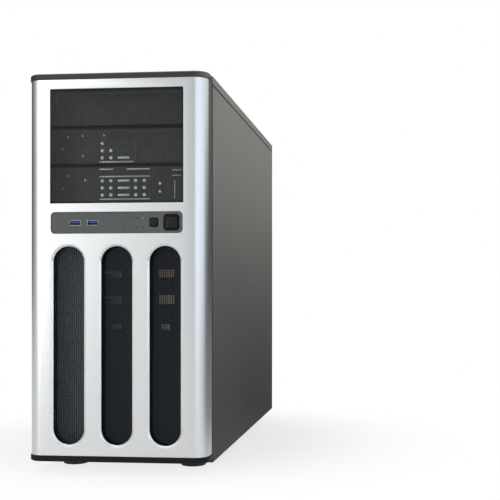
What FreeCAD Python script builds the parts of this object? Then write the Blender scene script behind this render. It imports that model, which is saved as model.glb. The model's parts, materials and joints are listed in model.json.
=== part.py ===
import FreeCAD
import Part

import math
import os

from FreeCAD import Vector

# Empty tower server case. Millimetres, +Z up, floor at Z = 0, seen from the front along +Y.
# The silver bezel faces -Y, the rear wall faces +Y and the motherboard tray is on the +X side.

# Sheet, skins and gaps
SHEET = 1.0
SKIN = 1.0
SEAT_GAP = 0.3
SEAM = 0.6
HOLE_SIDES = 6
CORNER_STEPS = 4
HALF_ROUND_STEPS = 8

# Rear wall, across from the +X side to the -X side
BOARD_SIDE_MARGIN = 26.0
SLOT_WINDOW_WIDTH = 108.8
LATCH_OFFSET = 14.6
LATCH_WINDOW_WIDTH = 15.9
VENT_OFFSET = 8.2
VENT_COLUMNS = 4
VENT_SIDE_MARGIN = 14.4
HEX_PITCH = 6.7
HEX_SIZE = 5.3

# Rear wall, up from the floor
FOOT_HEIGHT = 10.7
SLOT_BASE = 18.5
SLOT_SILL = 12.1
SLOT_COUNT = 7
SLOT_PITCH = 20.32
IO_RISE = 13.4
IO_WIDTH = 44.45
IO_HEIGHT = 158.75
IO_REVEAL = 3.6
IO_LINTEL = 5.7
PSU_GAP = 28.9
PSU_OPENING_WIDTH = 142.3
PSU_OPENING_HEIGHT = 70.7
PSU_TOP_MARGIN = 16.9

# Front to back
BEZEL_DEPTH = 30.0
CAP_OVERHANG = 0.8
BODY_DEPTH = 495.0

# Thumbscrews
SCREW_INSET = 7.4
SCREW_LOW = 24.0
SCREW_HIGH_DROP = 35.5
SCREW_HEAD_RADIUS = 4.4
SCREW_HEAD_LENGTH = 5.0
SCREW_HEAD_SIDES = 12
SCREW_SHANK_RADIUS = 1.75
SCREW_HOLE_RADIUS = 2.3
SCREW_REACH = 6.0
BRACKET_LAP = 8.0
BRACKET_BELOW = 8.0
BRACKET_ABOVE = 3.4

# Overall sizes and datum planes
CASE_WIDTH = (
    BOARD_SIDE_MARGIN + SLOT_WINDOW_WIDTH + LATCH_OFFSET + LATCH_WINDOW_WIDTH
    + VENT_OFFSET + (VENT_COLUMNS - 1) * HEX_PITCH + VENT_SIDE_MARGIN
)
HALF = CASE_WIDTH / 2
FLOOR_Z = FOOT_HEIGHT
SLOT_WINDOW_Z = FLOOR_Z + SLOT_BASE
FIRST_SLOT_Z = SLOT_WINDOW_Z + SLOT_SILL
IO_Z = FIRST_SLOT_Z + (SLOT_COUNT - 1) * SLOT_PITCH + IO_RISE
IO_TOP = IO_Z + IO_HEIGHT
PSU_Z = IO_TOP + PSU_GAP
PSU_TOP = PSU_Z + PSU_OPENING_HEIGHT
ROOF_Z = PSU_TOP + PSU_TOP_MARGIN
FRONT_Y = -(BEZEL_DEPTH + BODY_DEPTH + SCREW_HEAD_LENGTH) / 2
FACE_Y = FRONT_Y + CAP_OVERHANG
CHASSIS_Y = FRONT_Y + BEZEL_DEPTH
REAR_Y = CHASSIS_Y + BODY_DEPTH
WALL_OUT_Y = REAR_Y - SKIN
WALL_IN_Y = WALL_OUT_Y - SHEET

# Top cover and side panels
COVER_LIP = 9.5
COVER_REAR_FLANGE = 11.8
PANEL_FLANGE = 11.0
FLANGE_LAP = 0.7
PANEL_HEM = 6.0
PANEL_TRAVEL = 16.0
PANEL_FRONT_GAP = 0.5
GRIP_Z = 181.0
GRIP_LENGTH = 88.0
GRIP_TAPER = 9.0
GRIP_DEPTH = 7.7
CHASSIS_HALF = HALF - SKIN - PANEL_HEM - SEAT_GAP
WALL_HALF = HALF - PANEL_FLANGE + FLANGE_LAP

# Power supply opening
PSU_EDGE = 1.1
PSU_EAR = 10.0
PSU_NOTCH_DEPTH = 11.1
PSU_NOTCH_START = 33.5
PSU_NOTCH_WIDTH = 72.8
PSU_HOLE_SPACING_X = 138.0
PSU_HOLE_SPACING_Z = 74.0
PSU_HOLE_INSET = 0.7
PSU_HOLE_DROP = 1.1
PSU_SCREW_RADIUS = 2.0
PSU_TAB_OFFSET = 25.8
PSU_TAB_WIDTH = 9.8
PSU_TAB_DEPTH = 5.5

# Fan vent and side vent
FAN_SIDE = 68.1
FAN_RISE = 83.8
FAN_SCREW_SPACINGS = (105.0, 82.5, 71.5)
FAN_SCREW_RADIUS = 2.0
FAN_ROW_REACH = (8.0, 7.5, 8.0, 7.5, 8.0, 4.5, 4.0, 3.5, 5.0, 3.5)
FAN_SIDE_PAIRS = {5: (6.5, 7.5), 6: (7.0, 8.0)}
VENT_BASE = 22.7
VENT_FULL_ROWS = 23
LOCK_SLOT_WIDTH = 12.0
LOCK_SLOT_HEIGHT = 3.0
LOCK_SLOT_X = 31.4
LOCK_SLOT_RISE = 13.0

# Expansion slots, covers and latches
SLOT_RECESS = 11.0
FRAME_FLANGE = 7.0
SLOT_OPENING = 13.0
SLOT_END_MARGIN = 5.0
COVER_THICKNESS = 0.8
COVER_SPACING = 1.6
COVER_END_GAP = 2.0
COVER_TAB_GAP = 0.6
VENT_COUNT = 5
VENT_LENGTH = 14.2
VENT_HEIGHT = 4.6
VENT_PITCH = 19.7
VENT_START = 18.7
RIB_SLOT_LENGTH = 6.5
RIB_SLOT_HEIGHT = 3.2
RIB_SLOT_OFFSETS = (22.0, 92.1)
LATCH_RISE = 2.5
LATCH_WINDOW_HEIGHT = 9.9
LATCH_HEIGHT = 9.2
LATCH_PIVOT_OFFSET = 1.5
LATCH_PIVOT_DEPTH = 5.5
LATCH_HEEL = 3.0
LATCH_ARM = 4.0
LATCH_CREST = 0.3
LATCH_SLOPE_DROP = 0.7
ROD_RADIUS = 1.2
ROD_CLEARANCE = 0.06
LUG_THICKNESS = 3.0
LUG_WIDTH = 7.0
LUG_GAP = 1.0

# Front bezel
BEZEL_WALL = 2.6
BEZEL_RADIUS = 16.0
BEZEL_LIFT = 3.4
CAP_HEIGHT = 6.7
CAP_BEVEL = 1.2
WINDOW_WIDTH = 153.0
WINDOW_DROP = 17.4
WINDOW_CORNER = 0.5
BAY_COUNT = 3
BAY_PITCH = 43.0
BAY_NAMES = ("bottom", "middle", "top")
BAY_COVER_INSET = 1.0
BAY_COVER_RIM = 12.0
BAY_COVER_GAP = 0.25
STRIP_GAP = 9.9
STRIP_WIDTH = 151.4
STRIP_HEIGHT = 24.3
STRIP_RADIUS = 4.5
STRIP_INSET = 0.8
STRIP_THICKNESS = 2.4
STRIP_LIP = 2.5
INTAKE_GAP = 13.9
INTAKE_SILL = 12.4
INTAKE_COUNT = 3
INTAKE_WIDTH = 36.0
INTAKE_PITCH = 55.5
INTAKE_BEVEL = 2.2
INTAKE_BEVEL_DEPTH = 1.7
INTAKE_COLLAR = 6.0
COLLAR_WALL = 1.8
COLLAR_CORNER = 9.0
MESH_THICKNESS = 0.8
MESH_OVERLAP = 3.0
POST_SIZE = 8.0
POST_INSET = 14.0
POST_GAP = 2.2

# Control strip parts
USB_WIDTH = 13.2
USB_HEIGHT = 5.8
USB_WALL = 0.4
USB_DEPTH = 13.5
USB_STARTS = (21.6, 41.8)
USB_TONGUE_WIDTH = 11.0
USB_TONGUE_HEIGHT = 1.9
USB_TONGUE_DROP = 0.9
USB_TONGUE_INSET = 1.0
LAMP_COLUMNS = 4
LAMP_ROWS = 2
LAMP_PITCH_X = 6.8
LAMP_PITCH_Z = 10.1
LAMP_START = 85.5
LAMP_RADIUS = 1.1
LAMP_HEIGHT = 0.3
POWER_SIZE = 18.6
POWER_FACE = 14.2
POWER_CORNER = 2.4
POWER_OFFSET = 12.9
POWER_TRAVEL = 1.5
LOCATOR_SIZE = 10.4
LOCATOR_FACE = 7.6
LOCATOR_CORNER = 1.5
LOCATOR_OFFSET = 32.9
LOCATOR_TRAVEL = 1.0
BUTTON_BEVEL = 1.3
BUTTON_LIP = 1.2
BUTTON_LIP_THICKNESS = 1.2
BUTTON_STEM = 4.0
SWITCH_DEPTH = 3.5
BOARD_THICKNESS = 1.6
BOARD_MARGIN = 3.0
BOARD_POST = 4.0

# Drive cages, tray, feet
WALL_MARGIN = 12.0
CAGE_HALF = 74.6
CAGE_DEPTH = 190.0
CAGE_FLANGE = 8.0
HDD_CAGE_HALF = 51.5
HDD_CAGE_HEIGHT = 132.0
HDD_CAGE_SETBACK = 34.0
HDD_CAGE_DEPTH = 150.0
HDD_SLOT_LENGTH = 90.0
HDD_SLOT_HEIGHT = 12.0
HDD_SLOT_PITCH = 29.6
HDD_SLOT_COUNT = 4
TRAY_OFFSET = 6.5
TRAY_LENGTH = 335.0
TRAY_HEIGHT = 330.0
TRAY_FLANGE = 10.0
TRAY_WINDOW_WIDTH = 130.0
TRAY_WINDOW_HEIGHT = 120.0
TRAY_WINDOW_BACK = 60.0
TRAY_WINDOW_RISE = 190.0
PAN_FLANGE = 15.0
FOOT_RADIUS = 16.0
FOOT_TAPER = 1.5
FOOT_SIDES = 12
FOOT_X = 72.0
FOOT_FRONT = 73.0
FOOT_REAR = 32.0
BAR_HEIGHT = 6.5
BAR_DEPTH = 22.0

OUT_DIR = "parts"


def box(x0, x1, y0, y1, z0, z1):
    return Part.makeBox(x1 - x0, y1 - y0, z1 - z0, Vector(x0, y0, z0))


def fuse(shapes):
    return shapes[0].fuse(shapes[1:]).removeSplitter()


def outline(points, y):
    """Closed polygon on an upright plane, from (x, z) points."""
    corners = [Vector(x, y, z) for x, z in points]
    return Part.makePolygon(corners + corners[:1])


def rect(x0, x1, z0, z1, y):
    return outline([(x0, z0), (x1, z0), (x1, z1), (x0, z1)], y)


def regular(x, z, radius, sides, y):
    """Regular polygon with a corner at the top."""
    turn = 2 * math.pi / sides
    points = []
    for i in range(sides):
        points.append((x + radius * math.sin(i * turn), z + radius * math.cos(i * turn)))
    return outline(points, y)


def oblong(x0, x1, z0, z1, corner, y):
    """Rectangle with cut corners, for small slots and buttons."""
    points = [
        (x0 + corner, z0), (x1 - corner, z0), (x1, z0 + corner), (x1, z1 - corner),
        (x1 - corner, z1), (x0 + corner, z1), (x0, z1 - corner), (x0, z0 + corner),
    ]
    return outline(points, y)


def rounded(points, radius, y):
    """Closed outline on an upright plane with every corner rounded in a few steps."""
    corners = [Vector(x, y, z) for x, z in points]
    count = len(corners)
    turned = []
    for i in range(count):
        here = corners[i]
        back = (corners[i - 1] - here).normalize()
        ahead = (corners[(i + 1) % count] - here).normalize()
        half_angle = math.acos(max(-1.0, min(1.0, back.dot(ahead)))) / 2
        reach = radius / math.tan(half_angle)
        centre = here + (back + ahead).normalize() * (radius / math.sin(half_angle))
        first = here + back * reach - centre
        last = here + ahead * reach - centre
        sweep = math.pi - 2 * half_angle
        for step in range(CORNER_STEPS + 1):
            angle = sweep * step / CORNER_STEPS
            blend = first * math.sin(sweep - angle) + last * math.sin(angle)
            turned.append(centre + blend * (1 / math.sin(sweep)))
    return Part.makePolygon(turned + turned[:1])


def rounded_rect(x0, x1, z0, z1, radius, y):
    return rounded([(x0, z0), (x1, z0), (x1, z1), (x0, z1)], radius, y)


def stadium(x, z0, z1, width, y):
    """Upright slot outline with half-round ends."""
    r = width / 2
    points = []
    for middle, start in ((z1 - r, 0.0), (z0 + r, math.pi)):
        for step in range(HALF_ROUND_STEPS + 1):
            angle = start + math.pi * step / HALF_ROUND_STEPS
            points.append((x + r * math.cos(angle), middle + r * math.sin(angle)))
    return outline(points, y)


def plate(outer, holes, thickness):
    """Sheet from an outline and its holes, thickened towards +Y."""
    face = Part.makeFace([outer] + holes, "Part::FaceMakerBullseye")
    return face.extrude(Vector(0, thickness, 0))


def frustum(near, far):
    """Solid between two like outlines whose sides are parallel."""
    rings = [[v.Point for v in wire.OrderedVertexes] for wire in (near, far)]
    faces = [Part.Face(near), Part.Face(far)]
    for i in range(len(rings[0])):
        quad = [rings[0][i - 1], rings[0][i], rings[1][i], rings[1][i - 1]]
        faces.append(Part.Face(Part.makePolygon(quad + quad[:1])))
    return Part.makeSolid(Part.makeShell(faces))


def level_polygon(x, y, radius, sides, z):
    """Regular polygon on a level plane."""
    turn = 2 * math.pi / sides
    corners = []
    for i in range(sides):
        corners.append(Vector(x + radius * math.cos(i * turn), y + radius * math.sin(i * turn), z))
    return Part.makePolygon(corners + corners[:1])


def plan_solid(points, z0, z1):
    """Upright prism from a plan outline of (x, y) points."""
    corners = [Vector(x, y, z0) for x, y in points]
    wire = Part.makePolygon(corners + corners[:1])
    return Part.Face(wire).extrude(Vector(0, 0, z1 - z0))


def bezel_plan(half, front_y, back_y, radius, z):
    """Edges of the bezel's plan from the back of one side round the front to the other."""
    k = radius * (1 - math.sqrt(0.5))
    left_back = Vector(-half, back_y, z)
    left_side = Vector(-half, front_y + radius, z)
    left_mid = Vector(-half + k, front_y + k, z)
    left_front = Vector(-half + radius, front_y, z)
    right_front = Vector(half - radius, front_y, z)
    right_mid = Vector(half - k, front_y + k, z)
    right_side = Vector(half, front_y + radius, z)
    right_back = Vector(half, back_y, z)
    return [
        Part.LineSegment(left_back, left_side).toShape(),
        Part.Arc(left_side, left_mid, left_front).toShape(),
        Part.LineSegment(left_front, right_front).toShape(),
        Part.Arc(right_front, right_mid, right_side).toShape(),
        Part.LineSegment(right_side, right_back).toShape(),
    ]


def close(edges, more):
    """Wire from a run of edges and the run that closes it, given from the same end."""
    return Part.Wire(Part.__sortEdges__(edges + more))


# Places that several pieces share
BOARD_X = HALF - BOARD_SIDE_MARGIN
SLOT_EDGE_X = BOARD_X - SLOT_WINDOW_WIDTH
LATCH_X1 = SLOT_EDGE_X - LATCH_OFFSET
LATCH_X0 = LATCH_X1 - LATCH_WINDOW_WIDTH
VENT_X = LATCH_X0 - VENT_OFFSET
IO_X0 = BOARD_X - IO_WIDTH
FAN_X = -HALF + FAN_SIDE
FAN_Z = IO_Z + FAN_RISE
ROW_PITCH = HEX_PITCH * math.sqrt(3) / 2
PSU_X1 = BOARD_X - PSU_EDGE
PSU_X0 = PSU_X1 - PSU_OPENING_WIDTH
PIVOT_X = LATCH_X0 - LATCH_PIVOT_OFFSET
PIVOT_Y = WALL_IN_Y - LATCH_PIVOT_DEPTH
FRAME_FLOOR_Y = WALL_IN_Y - SLOT_RECESS
FACE_HALF = HALF - CAP_OVERHANG
BEZEL_Z0 = FLOOR_Z + BEZEL_LIFT + CAP_HEIGHT
BEZEL_Z1 = ROOF_Z - CAP_HEIGHT
WINDOW_TOP = ROOF_Z - WINDOW_DROP
WINDOW_Z = WINDOW_TOP - BAY_COUNT * BAY_PITCH
STRIP_TOP = WINDOW_Z - STRIP_GAP
STRIP_Z = STRIP_TOP - STRIP_HEIGHT
STRIP_MID = (STRIP_TOP + STRIP_Z) / 2
INTAKE_TOP = STRIP_Z - INTAKE_GAP
INTAKE_Z = BEZEL_Z0 + INTAKE_SILL
STRIP_FRONT_Y = FACE_Y + STRIP_INSET
IO_BOARD_Y = STRIP_FRONT_Y + USB_DEPTH
POWER_X = STRIP_WIDTH / 2 - POWER_OFFSET
LOCATOR_X = STRIP_WIDTH / 2 - LOCATOR_OFFSET
SCREW_X = HALF - SCREW_INSET
SCREW_ZS = (FLOOR_Z + SCREW_LOW, ROOF_Z - SCREW_HIGH_DROP)
TRAY_X = BOARD_X + TRAY_OFFSET


def slot_z(k):
    return FIRST_SLOT_Z + k * SLOT_PITCH


def intake_xs():
    middle = (INTAKE_COUNT - 1) / 2
    return [(i - middle) * INTAKE_PITCH for i in range(INTAKE_COUNT)]


def front_bezel():
    """Silver moulded shell with the bay window, control strip opening and three intakes."""
    inner_half = FACE_HALF - BEZEL_WALL
    outer = bezel_plan(FACE_HALF, FACE_Y, CHASSIS_Y, BEZEL_RADIUS, BEZEL_Z0)
    inner = bezel_plan(
        inner_half, FACE_Y + BEZEL_WALL, CHASSIS_Y, BEZEL_RADIUS - BEZEL_WALL, BEZEL_Z0)
    ends = [
        Part.makeLine(Vector(-FACE_HALF, CHASSIS_Y, BEZEL_Z0), Vector(-inner_half, CHASSIS_Y, BEZEL_Z0)),
        Part.makeLine(Vector(inner_half, CHASSIS_Y, BEZEL_Z0), Vector(FACE_HALF, CHASSIS_Y, BEZEL_Z0)),
    ]
    profile = Part.Face(close(outer, inner + ends))
    shell = profile.extrude(Vector(0, 0, BEZEL_Z1 - BEZEL_Z0))
    half_window = WINDOW_WIDTH / 2
    half_strip = STRIP_WIDTH / 2
    cuts = [
        plate(oblong(-half_window, half_window, WINDOW_Z, WINDOW_TOP, WINDOW_CORNER, FACE_Y), [], BEZEL_WALL),
        plate(rounded_rect(-half_strip, half_strip, STRIP_Z, STRIP_TOP, STRIP_RADIUS, FACE_Y),
              [], BEZEL_WALL),
    ]
    back_y = FACE_Y + BEZEL_WALL
    for x in intake_xs():
        cuts.append(plate(stadium(x, INTAKE_Z, INTAKE_TOP, INTAKE_WIDTH, FACE_Y), [], BEZEL_WALL))
        wide = stadium(x, INTAKE_Z - INTAKE_BEVEL, INTAKE_TOP + INTAKE_BEVEL,
                       INTAKE_WIDTH + 2 * INTAKE_BEVEL, FACE_Y)
        narrow = stadium(x, INTAKE_Z, INTAKE_TOP, INTAKE_WIDTH, FACE_Y + INTAKE_BEVEL_DEPTH)
        cuts.append(frustum(wide, narrow))
    shell = shell.cut(cuts)
    posts = []
    post_x = half_window + POST_GAP
    post_width = POST_SIZE / 2
    for z in (BEZEL_Z0 + POST_INSET, BEZEL_Z1 - POST_INSET - POST_SIZE):
        for x in (-post_x - post_width, post_x):
            posts.append(box(x, x + post_width, back_y, CHASSIS_Y, z, z + POST_SIZE))
    return fuse([shell] + posts)


def bezel_cap(z0, bevel_up):
    """Dark cap that closes the bezel, with a bevelled outer edge."""
    edges = bezel_plan(HALF, FRONT_Y, CHASSIS_Y, BEZEL_RADIUS, z0)
    back = Part.makeLine(Vector(-HALF, CHASSIS_Y, z0), Vector(HALF, CHASSIS_Y, z0))
    cap = Part.Face(close(edges, [back])).extrude(Vector(0, 0, CAP_HEIGHT))
    outer_z = z0 + CAP_HEIGHT if bevel_up else z0
    rim = []
    for edge in cap.Edges:
        spans = edge.BoundBox
        level = abs(spans.ZMin - outer_z) < 1e-6 and abs(spans.ZMax - outer_z) < 1e-6
        at_back = abs(spans.YMin - CHASSIS_Y) < 1e-6
        if level and not at_back:
            rim.append(edge)
    return cap.makeChamfer(CAP_BEVEL, rim)


def bay_cover(index):
    """Perforated drive bay cover: a shallow folded tray behind the bezel window."""
    half = WINDOW_WIDTH / 2 - SEAT_GAP
    z0 = WINDOW_Z + index * BAY_PITCH + BAY_COVER_GAP
    z1 = z0 + BAY_PITCH - 2 * BAY_COVER_GAP
    y = FACE_Y + BAY_COVER_INSET
    face = plate(rect(-half, half, z0, z1, y), [], MESH_THICKNESS)
    rim_outer = rect(-half, half, z0, z1, y)
    rim_inner = rect(-half + MESH_THICKNESS, half - MESH_THICKNESS,
                     z0 + MESH_THICKNESS, z1 - MESH_THICKNESS, y)
    rim = plate(rim_outer, [rim_inner], BAY_COVER_RIM)
    return fuse([face, rim])


def intake_grille():
    """Dark insert behind the intakes: a perforated sheet with a collar round each opening."""
    half = intake_xs()[-1] + INTAKE_WIDTH / 2 + MESH_OVERLAP
    collar_y = FACE_Y + BEZEL_WALL
    y = collar_y + INTAKE_COLLAR
    sheet = rect(-half, half, INTAKE_Z - MESH_OVERLAP, INTAKE_TOP + MESH_OVERLAP, y)
    pieces = [plate(sheet, [], MESH_THICKNESS)]
    reach = INTAKE_WIDTH / 2 + COLLAR_WALL
    for x in intake_xs():
        ring = oblong(x - reach, x + reach, INTAKE_Z - COLLAR_WALL, INTAKE_TOP + COLLAR_WALL,
                      COLLAR_CORNER, collar_y)
        bore = stadium(x, INTAKE_Z, INTAKE_TOP, INTAKE_WIDTH, collar_y)
        pieces.append(plate(ring, [bore], INTAKE_COLLAR))
    return fuse(pieces)


def usb_spans():
    """X span of each port's shell."""
    spans = []
    for start in USB_STARTS:
        x0 = -STRIP_WIDTH / 2 + start
        spans.append((x0, x0 + USB_WIDTH))
    return spans


def control_strip():
    """Dark strip that plugs into the bezel, with ports, button openings and board posts."""
    half = STRIP_WIDTH / 2 - SEAT_GAP
    z0 = STRIP_Z + SEAT_GAP
    z1 = STRIP_TOP - SEAT_GAP
    front = rounded_rect(-half, half, z0, z1, STRIP_RADIUS - SEAT_GAP, STRIP_FRONT_Y)
    openings = []
    for x, size, corner in ((POWER_X, POWER_SIZE, POWER_CORNER), (LOCATOR_X, LOCATOR_SIZE, LOCATOR_CORNER)):
        h = size / 2
        openings.append((x - h, x + h, STRIP_MID - h, STRIP_MID + h, corner))
    usb_z0 = STRIP_MID - USB_HEIGHT / 2 - SEAT_GAP
    usb_z1 = STRIP_MID + USB_HEIGHT / 2 + SEAT_GAP

    def holes(y):
        wires = [oblong(*span, y) for span in openings]
        for x0, x1 in usb_spans():
            wires.append(rect(x0 - SEAT_GAP, x1 + SEAT_GAP, usb_z0, usb_z1, y))
        return wires

    back_y = FACE_Y + BEZEL_WALL
    face = plate(front, holes(STRIP_FRONT_Y), back_y - STRIP_FRONT_Y)
    wide = half + SEAT_GAP + STRIP_LIP
    lip_outer = rect(-wide, wide, STRIP_Z - STRIP_LIP, STRIP_TOP + STRIP_LIP, back_y)
    lip = plate(lip_outer, holes(back_y), STRIP_THICKNESS)
    post_back = back_y + STRIP_THICKNESS
    posts = []
    for x in (-wide, wide - BOARD_POST):
        posts.append(box(x, x + BOARD_POST, post_back, IO_BOARD_Y, STRIP_Z, STRIP_TOP))
    return fuse([face, lip] + posts)


def usb_shells():
    """Steel shells of the two front ports, open to the front."""
    z0 = STRIP_MID - USB_HEIGHT / 2
    z1 = STRIP_MID + USB_HEIGHT / 2
    shells = []
    for x0, x1 in usb_spans():
        body = box(x0, x1, STRIP_FRONT_Y, IO_BOARD_Y, z0, z1)
        bore = box(x0 + USB_WALL, x1 - USB_WALL, STRIP_FRONT_Y, IO_BOARD_Y - USB_WALL,
                   z0 + USB_WALL, z1 - USB_WALL)
        shells.append(body.cut(bore))
    return Part.makeCompound(shells)


def usb_tongues():
    """Contact tongue inside each port, near its upper wall."""
    z1 = STRIP_MID + USB_HEIGHT / 2 - USB_WALL - USB_TONGUE_DROP
    tongues = []
    for x0, x1 in usb_spans():
        middle = (x0 + x1) / 2
        tongues.append(box(middle - USB_TONGUE_WIDTH / 2, middle + USB_TONGUE_WIDTH / 2,
                           STRIP_FRONT_Y + USB_TONGUE_INSET, IO_BOARD_Y - USB_WALL,
                           z1 - USB_TONGUE_HEIGHT, z1))
    return Part.makeCompound(tongues)


def indicator_lamps():
    """Two rows of small lamp lenses seated on the strip."""
    x_start = -STRIP_WIDTH / 2 + LAMP_START
    z_start = STRIP_MID - (LAMP_ROWS - 1) * LAMP_PITCH_Z / 2
    y = STRIP_FRONT_Y - LAMP_HEIGHT
    lamps = []
    for row in range(LAMP_ROWS):
        for column in range(LAMP_COLUMNS):
            x = x_start + column * LAMP_PITCH_X
            z = z_start + row * LAMP_PITCH_Z
            lamps.append(plate(regular(x, z, LAMP_RADIUS, 6, y), [], LAMP_HEIGHT))
    return Part.makeCompound(lamps)


def front_io_board():
    """Circuit board behind the strip that carries the ports and switches."""
    half = STRIP_WIDTH / 2 + STRIP_LIP
    return box(-half, half, IO_BOARD_Y, IO_BOARD_Y + BOARD_THICKNESS,
               STRIP_Z + BOARD_MARGIN, STRIP_TOP - BOARD_MARGIN)


def button_switches():
    """Press switches on the board, one behind each button."""
    blocks = []
    for x in (POWER_X, LOCATOR_X):
        h = BUTTON_STEM / 2
        blocks.append(box(x - h, x + h, IO_BOARD_Y - SWITCH_DEPTH, IO_BOARD_Y,
                          STRIP_MID - h, STRIP_MID + h))
    return Part.makeCompound(blocks)


def push_button(x, size, face, corner, travel):
    """Square button with bevelled edges, a retaining lip and a stem to its switch."""
    h = size / 2 - SEAT_GAP
    f = face / 2
    front_corner = corner * face / size
    z = STRIP_MID
    lip_y = FACE_Y + BEZEL_WALL + STRIP_THICKNESS + SEAT_GAP
    base_y = STRIP_FRONT_Y + BUTTON_BEVEL
    front = oblong(x - f, x + f, z - f, z + f, front_corner, STRIP_FRONT_Y)
    shoulder = oblong(x - h, x + h, z - h, z + h, corner, base_y)
    cap = frustum(front, shoulder)
    body = plate(shoulder, [], lip_y - base_y)
    w = size / 2 + BUTTON_LIP
    lip = box(x - w, x + w, lip_y, lip_y + BUTTON_LIP_THICKNESS, z - w, z + w)
    s = BUTTON_STEM / 2
    stem_end = IO_BOARD_Y - SWITCH_DEPTH - travel - SEAT_GAP
    stem = box(x - s, x + s, lip_y + BUTTON_LIP_THICKNESS, stem_end, z - s, z + s)
    return fuse([cap, body, lip, stem])


def bottom_pan():
    """Chassis floor with its two side flanges turned up."""
    z1 = FLOOR_Z + SHEET
    flange_top = FLOOR_Z + PAN_FLANGE
    h = CHASSIS_HALF
    floor = box(-h, h, CHASSIS_Y, WALL_IN_Y, FLOOR_Z, z1)
    left = box(-h, -h + SHEET, CHASSIS_Y, WALL_IN_Y, z1, flange_top)
    right = box(h - SHEET, h, CHASSIS_Y, WALL_IN_Y, z1, flange_top)
    return fuse([floor, left, right])


def front_wall():
    """Steel front of the chassis with the bay opening and the lower air opening."""
    h = CHASSIS_HALF - SHEET
    z0 = FLOOR_Z + SHEET
    z1 = ROOF_Z - SKIN
    outer = rect(-h, h, z0, z1, CHASSIS_Y)
    bays = rect(-CAGE_HALF, CAGE_HALF, WINDOW_Z, WINDOW_TOP, CHASSIS_Y)
    wide = intake_xs()[-1] + INTAKE_WIDTH / 2
    air = rect(-wide, wide, INTAKE_Z + WALL_MARGIN, INTAKE_TOP - WALL_MARGIN, CHASSIS_Y)
    return plate(outer, [bays, air], SHEET)


def grip_notch(side, outer_x, inner_x, taper):
    """Tapered finger notch in a panel's rear flange."""
    z0 = GRIP_Z
    z1 = GRIP_Z + GRIP_LENGTH
    inner = side * inner_x
    outer = side * outer_x
    return [(inner, z0), (outer, z0 + taper), (outer, z1 - taper), (inner, z1)]


def psu_outline(y):
    """Power supply opening with screw ears at the top and a notch in its lower edge."""
    notch_x0 = PSU_X0 + PSU_NOTCH_START
    notch_x1 = notch_x0 + PSU_NOTCH_WIDTH
    tab_x = PSU_X1 - PSU_TAB_OFFSET
    tab_top = PSU_TAB_WIDTH / 2
    tab_tip = tab_top / 2
    points = [
        (PSU_X0, PSU_Z), (notch_x0, PSU_Z), (notch_x0, PSU_Z - PSU_NOTCH_DEPTH),
        (notch_x1, PSU_Z - PSU_NOTCH_DEPTH), (notch_x1, PSU_Z), (PSU_X1, PSU_Z),
        (PSU_X1, PSU_TOP - PSU_EAR), (PSU_X1 - PSU_EAR, PSU_TOP),
        (tab_x + tab_top, PSU_TOP), (tab_x + tab_tip, PSU_TOP - PSU_TAB_DEPTH),
        (tab_x - tab_tip, PSU_TOP - PSU_TAB_DEPTH), (tab_x - tab_top, PSU_TOP),
        (PSU_X0 + PSU_EAR, PSU_TOP), (PSU_X0, PSU_TOP - PSU_EAR),
    ]
    return outline(points, y)


def fan_vent(y):
    """Honeycomb of the fan vent, kept clear of the fan's screw bosses."""
    r = HEX_SIZE / math.sqrt(3)
    wires = []
    last = len(FAN_ROW_REACH) - 1
    for row in range(-last, last + 1):
        reach = FAN_ROW_REACH[abs(row)]
        steps = [-reach + i for i in range(int(2 * reach) + 1)]
        for side in FAN_SIDE_PAIRS.get(abs(row), ()):
            steps += [-side, side]
        for step in steps:
            wires.append(regular(FAN_X + step * HEX_PITCH, FAN_Z + row * ROW_PITCH, r, 6, y))
    return wires


def side_vent(y):
    """Honeycomb column beside the slots, with one short row at its foot."""
    r = HEX_SIZE / math.sqrt(3)
    base = FLOOR_Z + VENT_BASE
    wires = []
    for row in range(VENT_FULL_ROWS + 1):
        z = base + row * ROW_PITCH
        staggered = (VENT_FULL_ROWS - row) % 2
        shift = staggered * HEX_PITCH / 2
        columns = VENT_COLUMNS - staggered
        if row == 0:
            columns = VENT_COLUMNS // 2
        for column in range(columns):
            wires.append(regular(VENT_X - shift - column * HEX_PITCH, z, r, 6, y))
    return wires


def fan_screws(y):
    """Screw holes for three sizes of fan."""
    wires = []
    for spacing in FAN_SCREW_SPACINGS:
        h = spacing / 2
        for x in (FAN_X - h, FAN_X + h):
            for z in (FAN_Z - h, FAN_Z + h):
                wires.append(regular(x, z, FAN_SCREW_RADIUS, HOLE_SIDES, y))
    return wires


def psu_screws(y):
    """Screw holes of the power supply."""
    x1 = PSU_X1 - PSU_HOLE_INSET
    z1 = PSU_TOP - PSU_HOLE_DROP
    wires = []
    for x in (x1 - PSU_HOLE_SPACING_X, x1):
        for z in (z1 - PSU_HOLE_SPACING_Z, z1):
            wires.append(regular(x, z, PSU_SCREW_RADIUS, HOLE_SIDES, y))
    return wires


def latch_windows(y):
    wires = []
    h = LATCH_WINDOW_HEIGHT / 2
    for k in range(SLOT_COUNT):
        z = slot_z(k) + LATCH_RISE
        wires.append(rect(LATCH_X0, LATCH_X1, z - h, z + h, y))
    return wires


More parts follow.
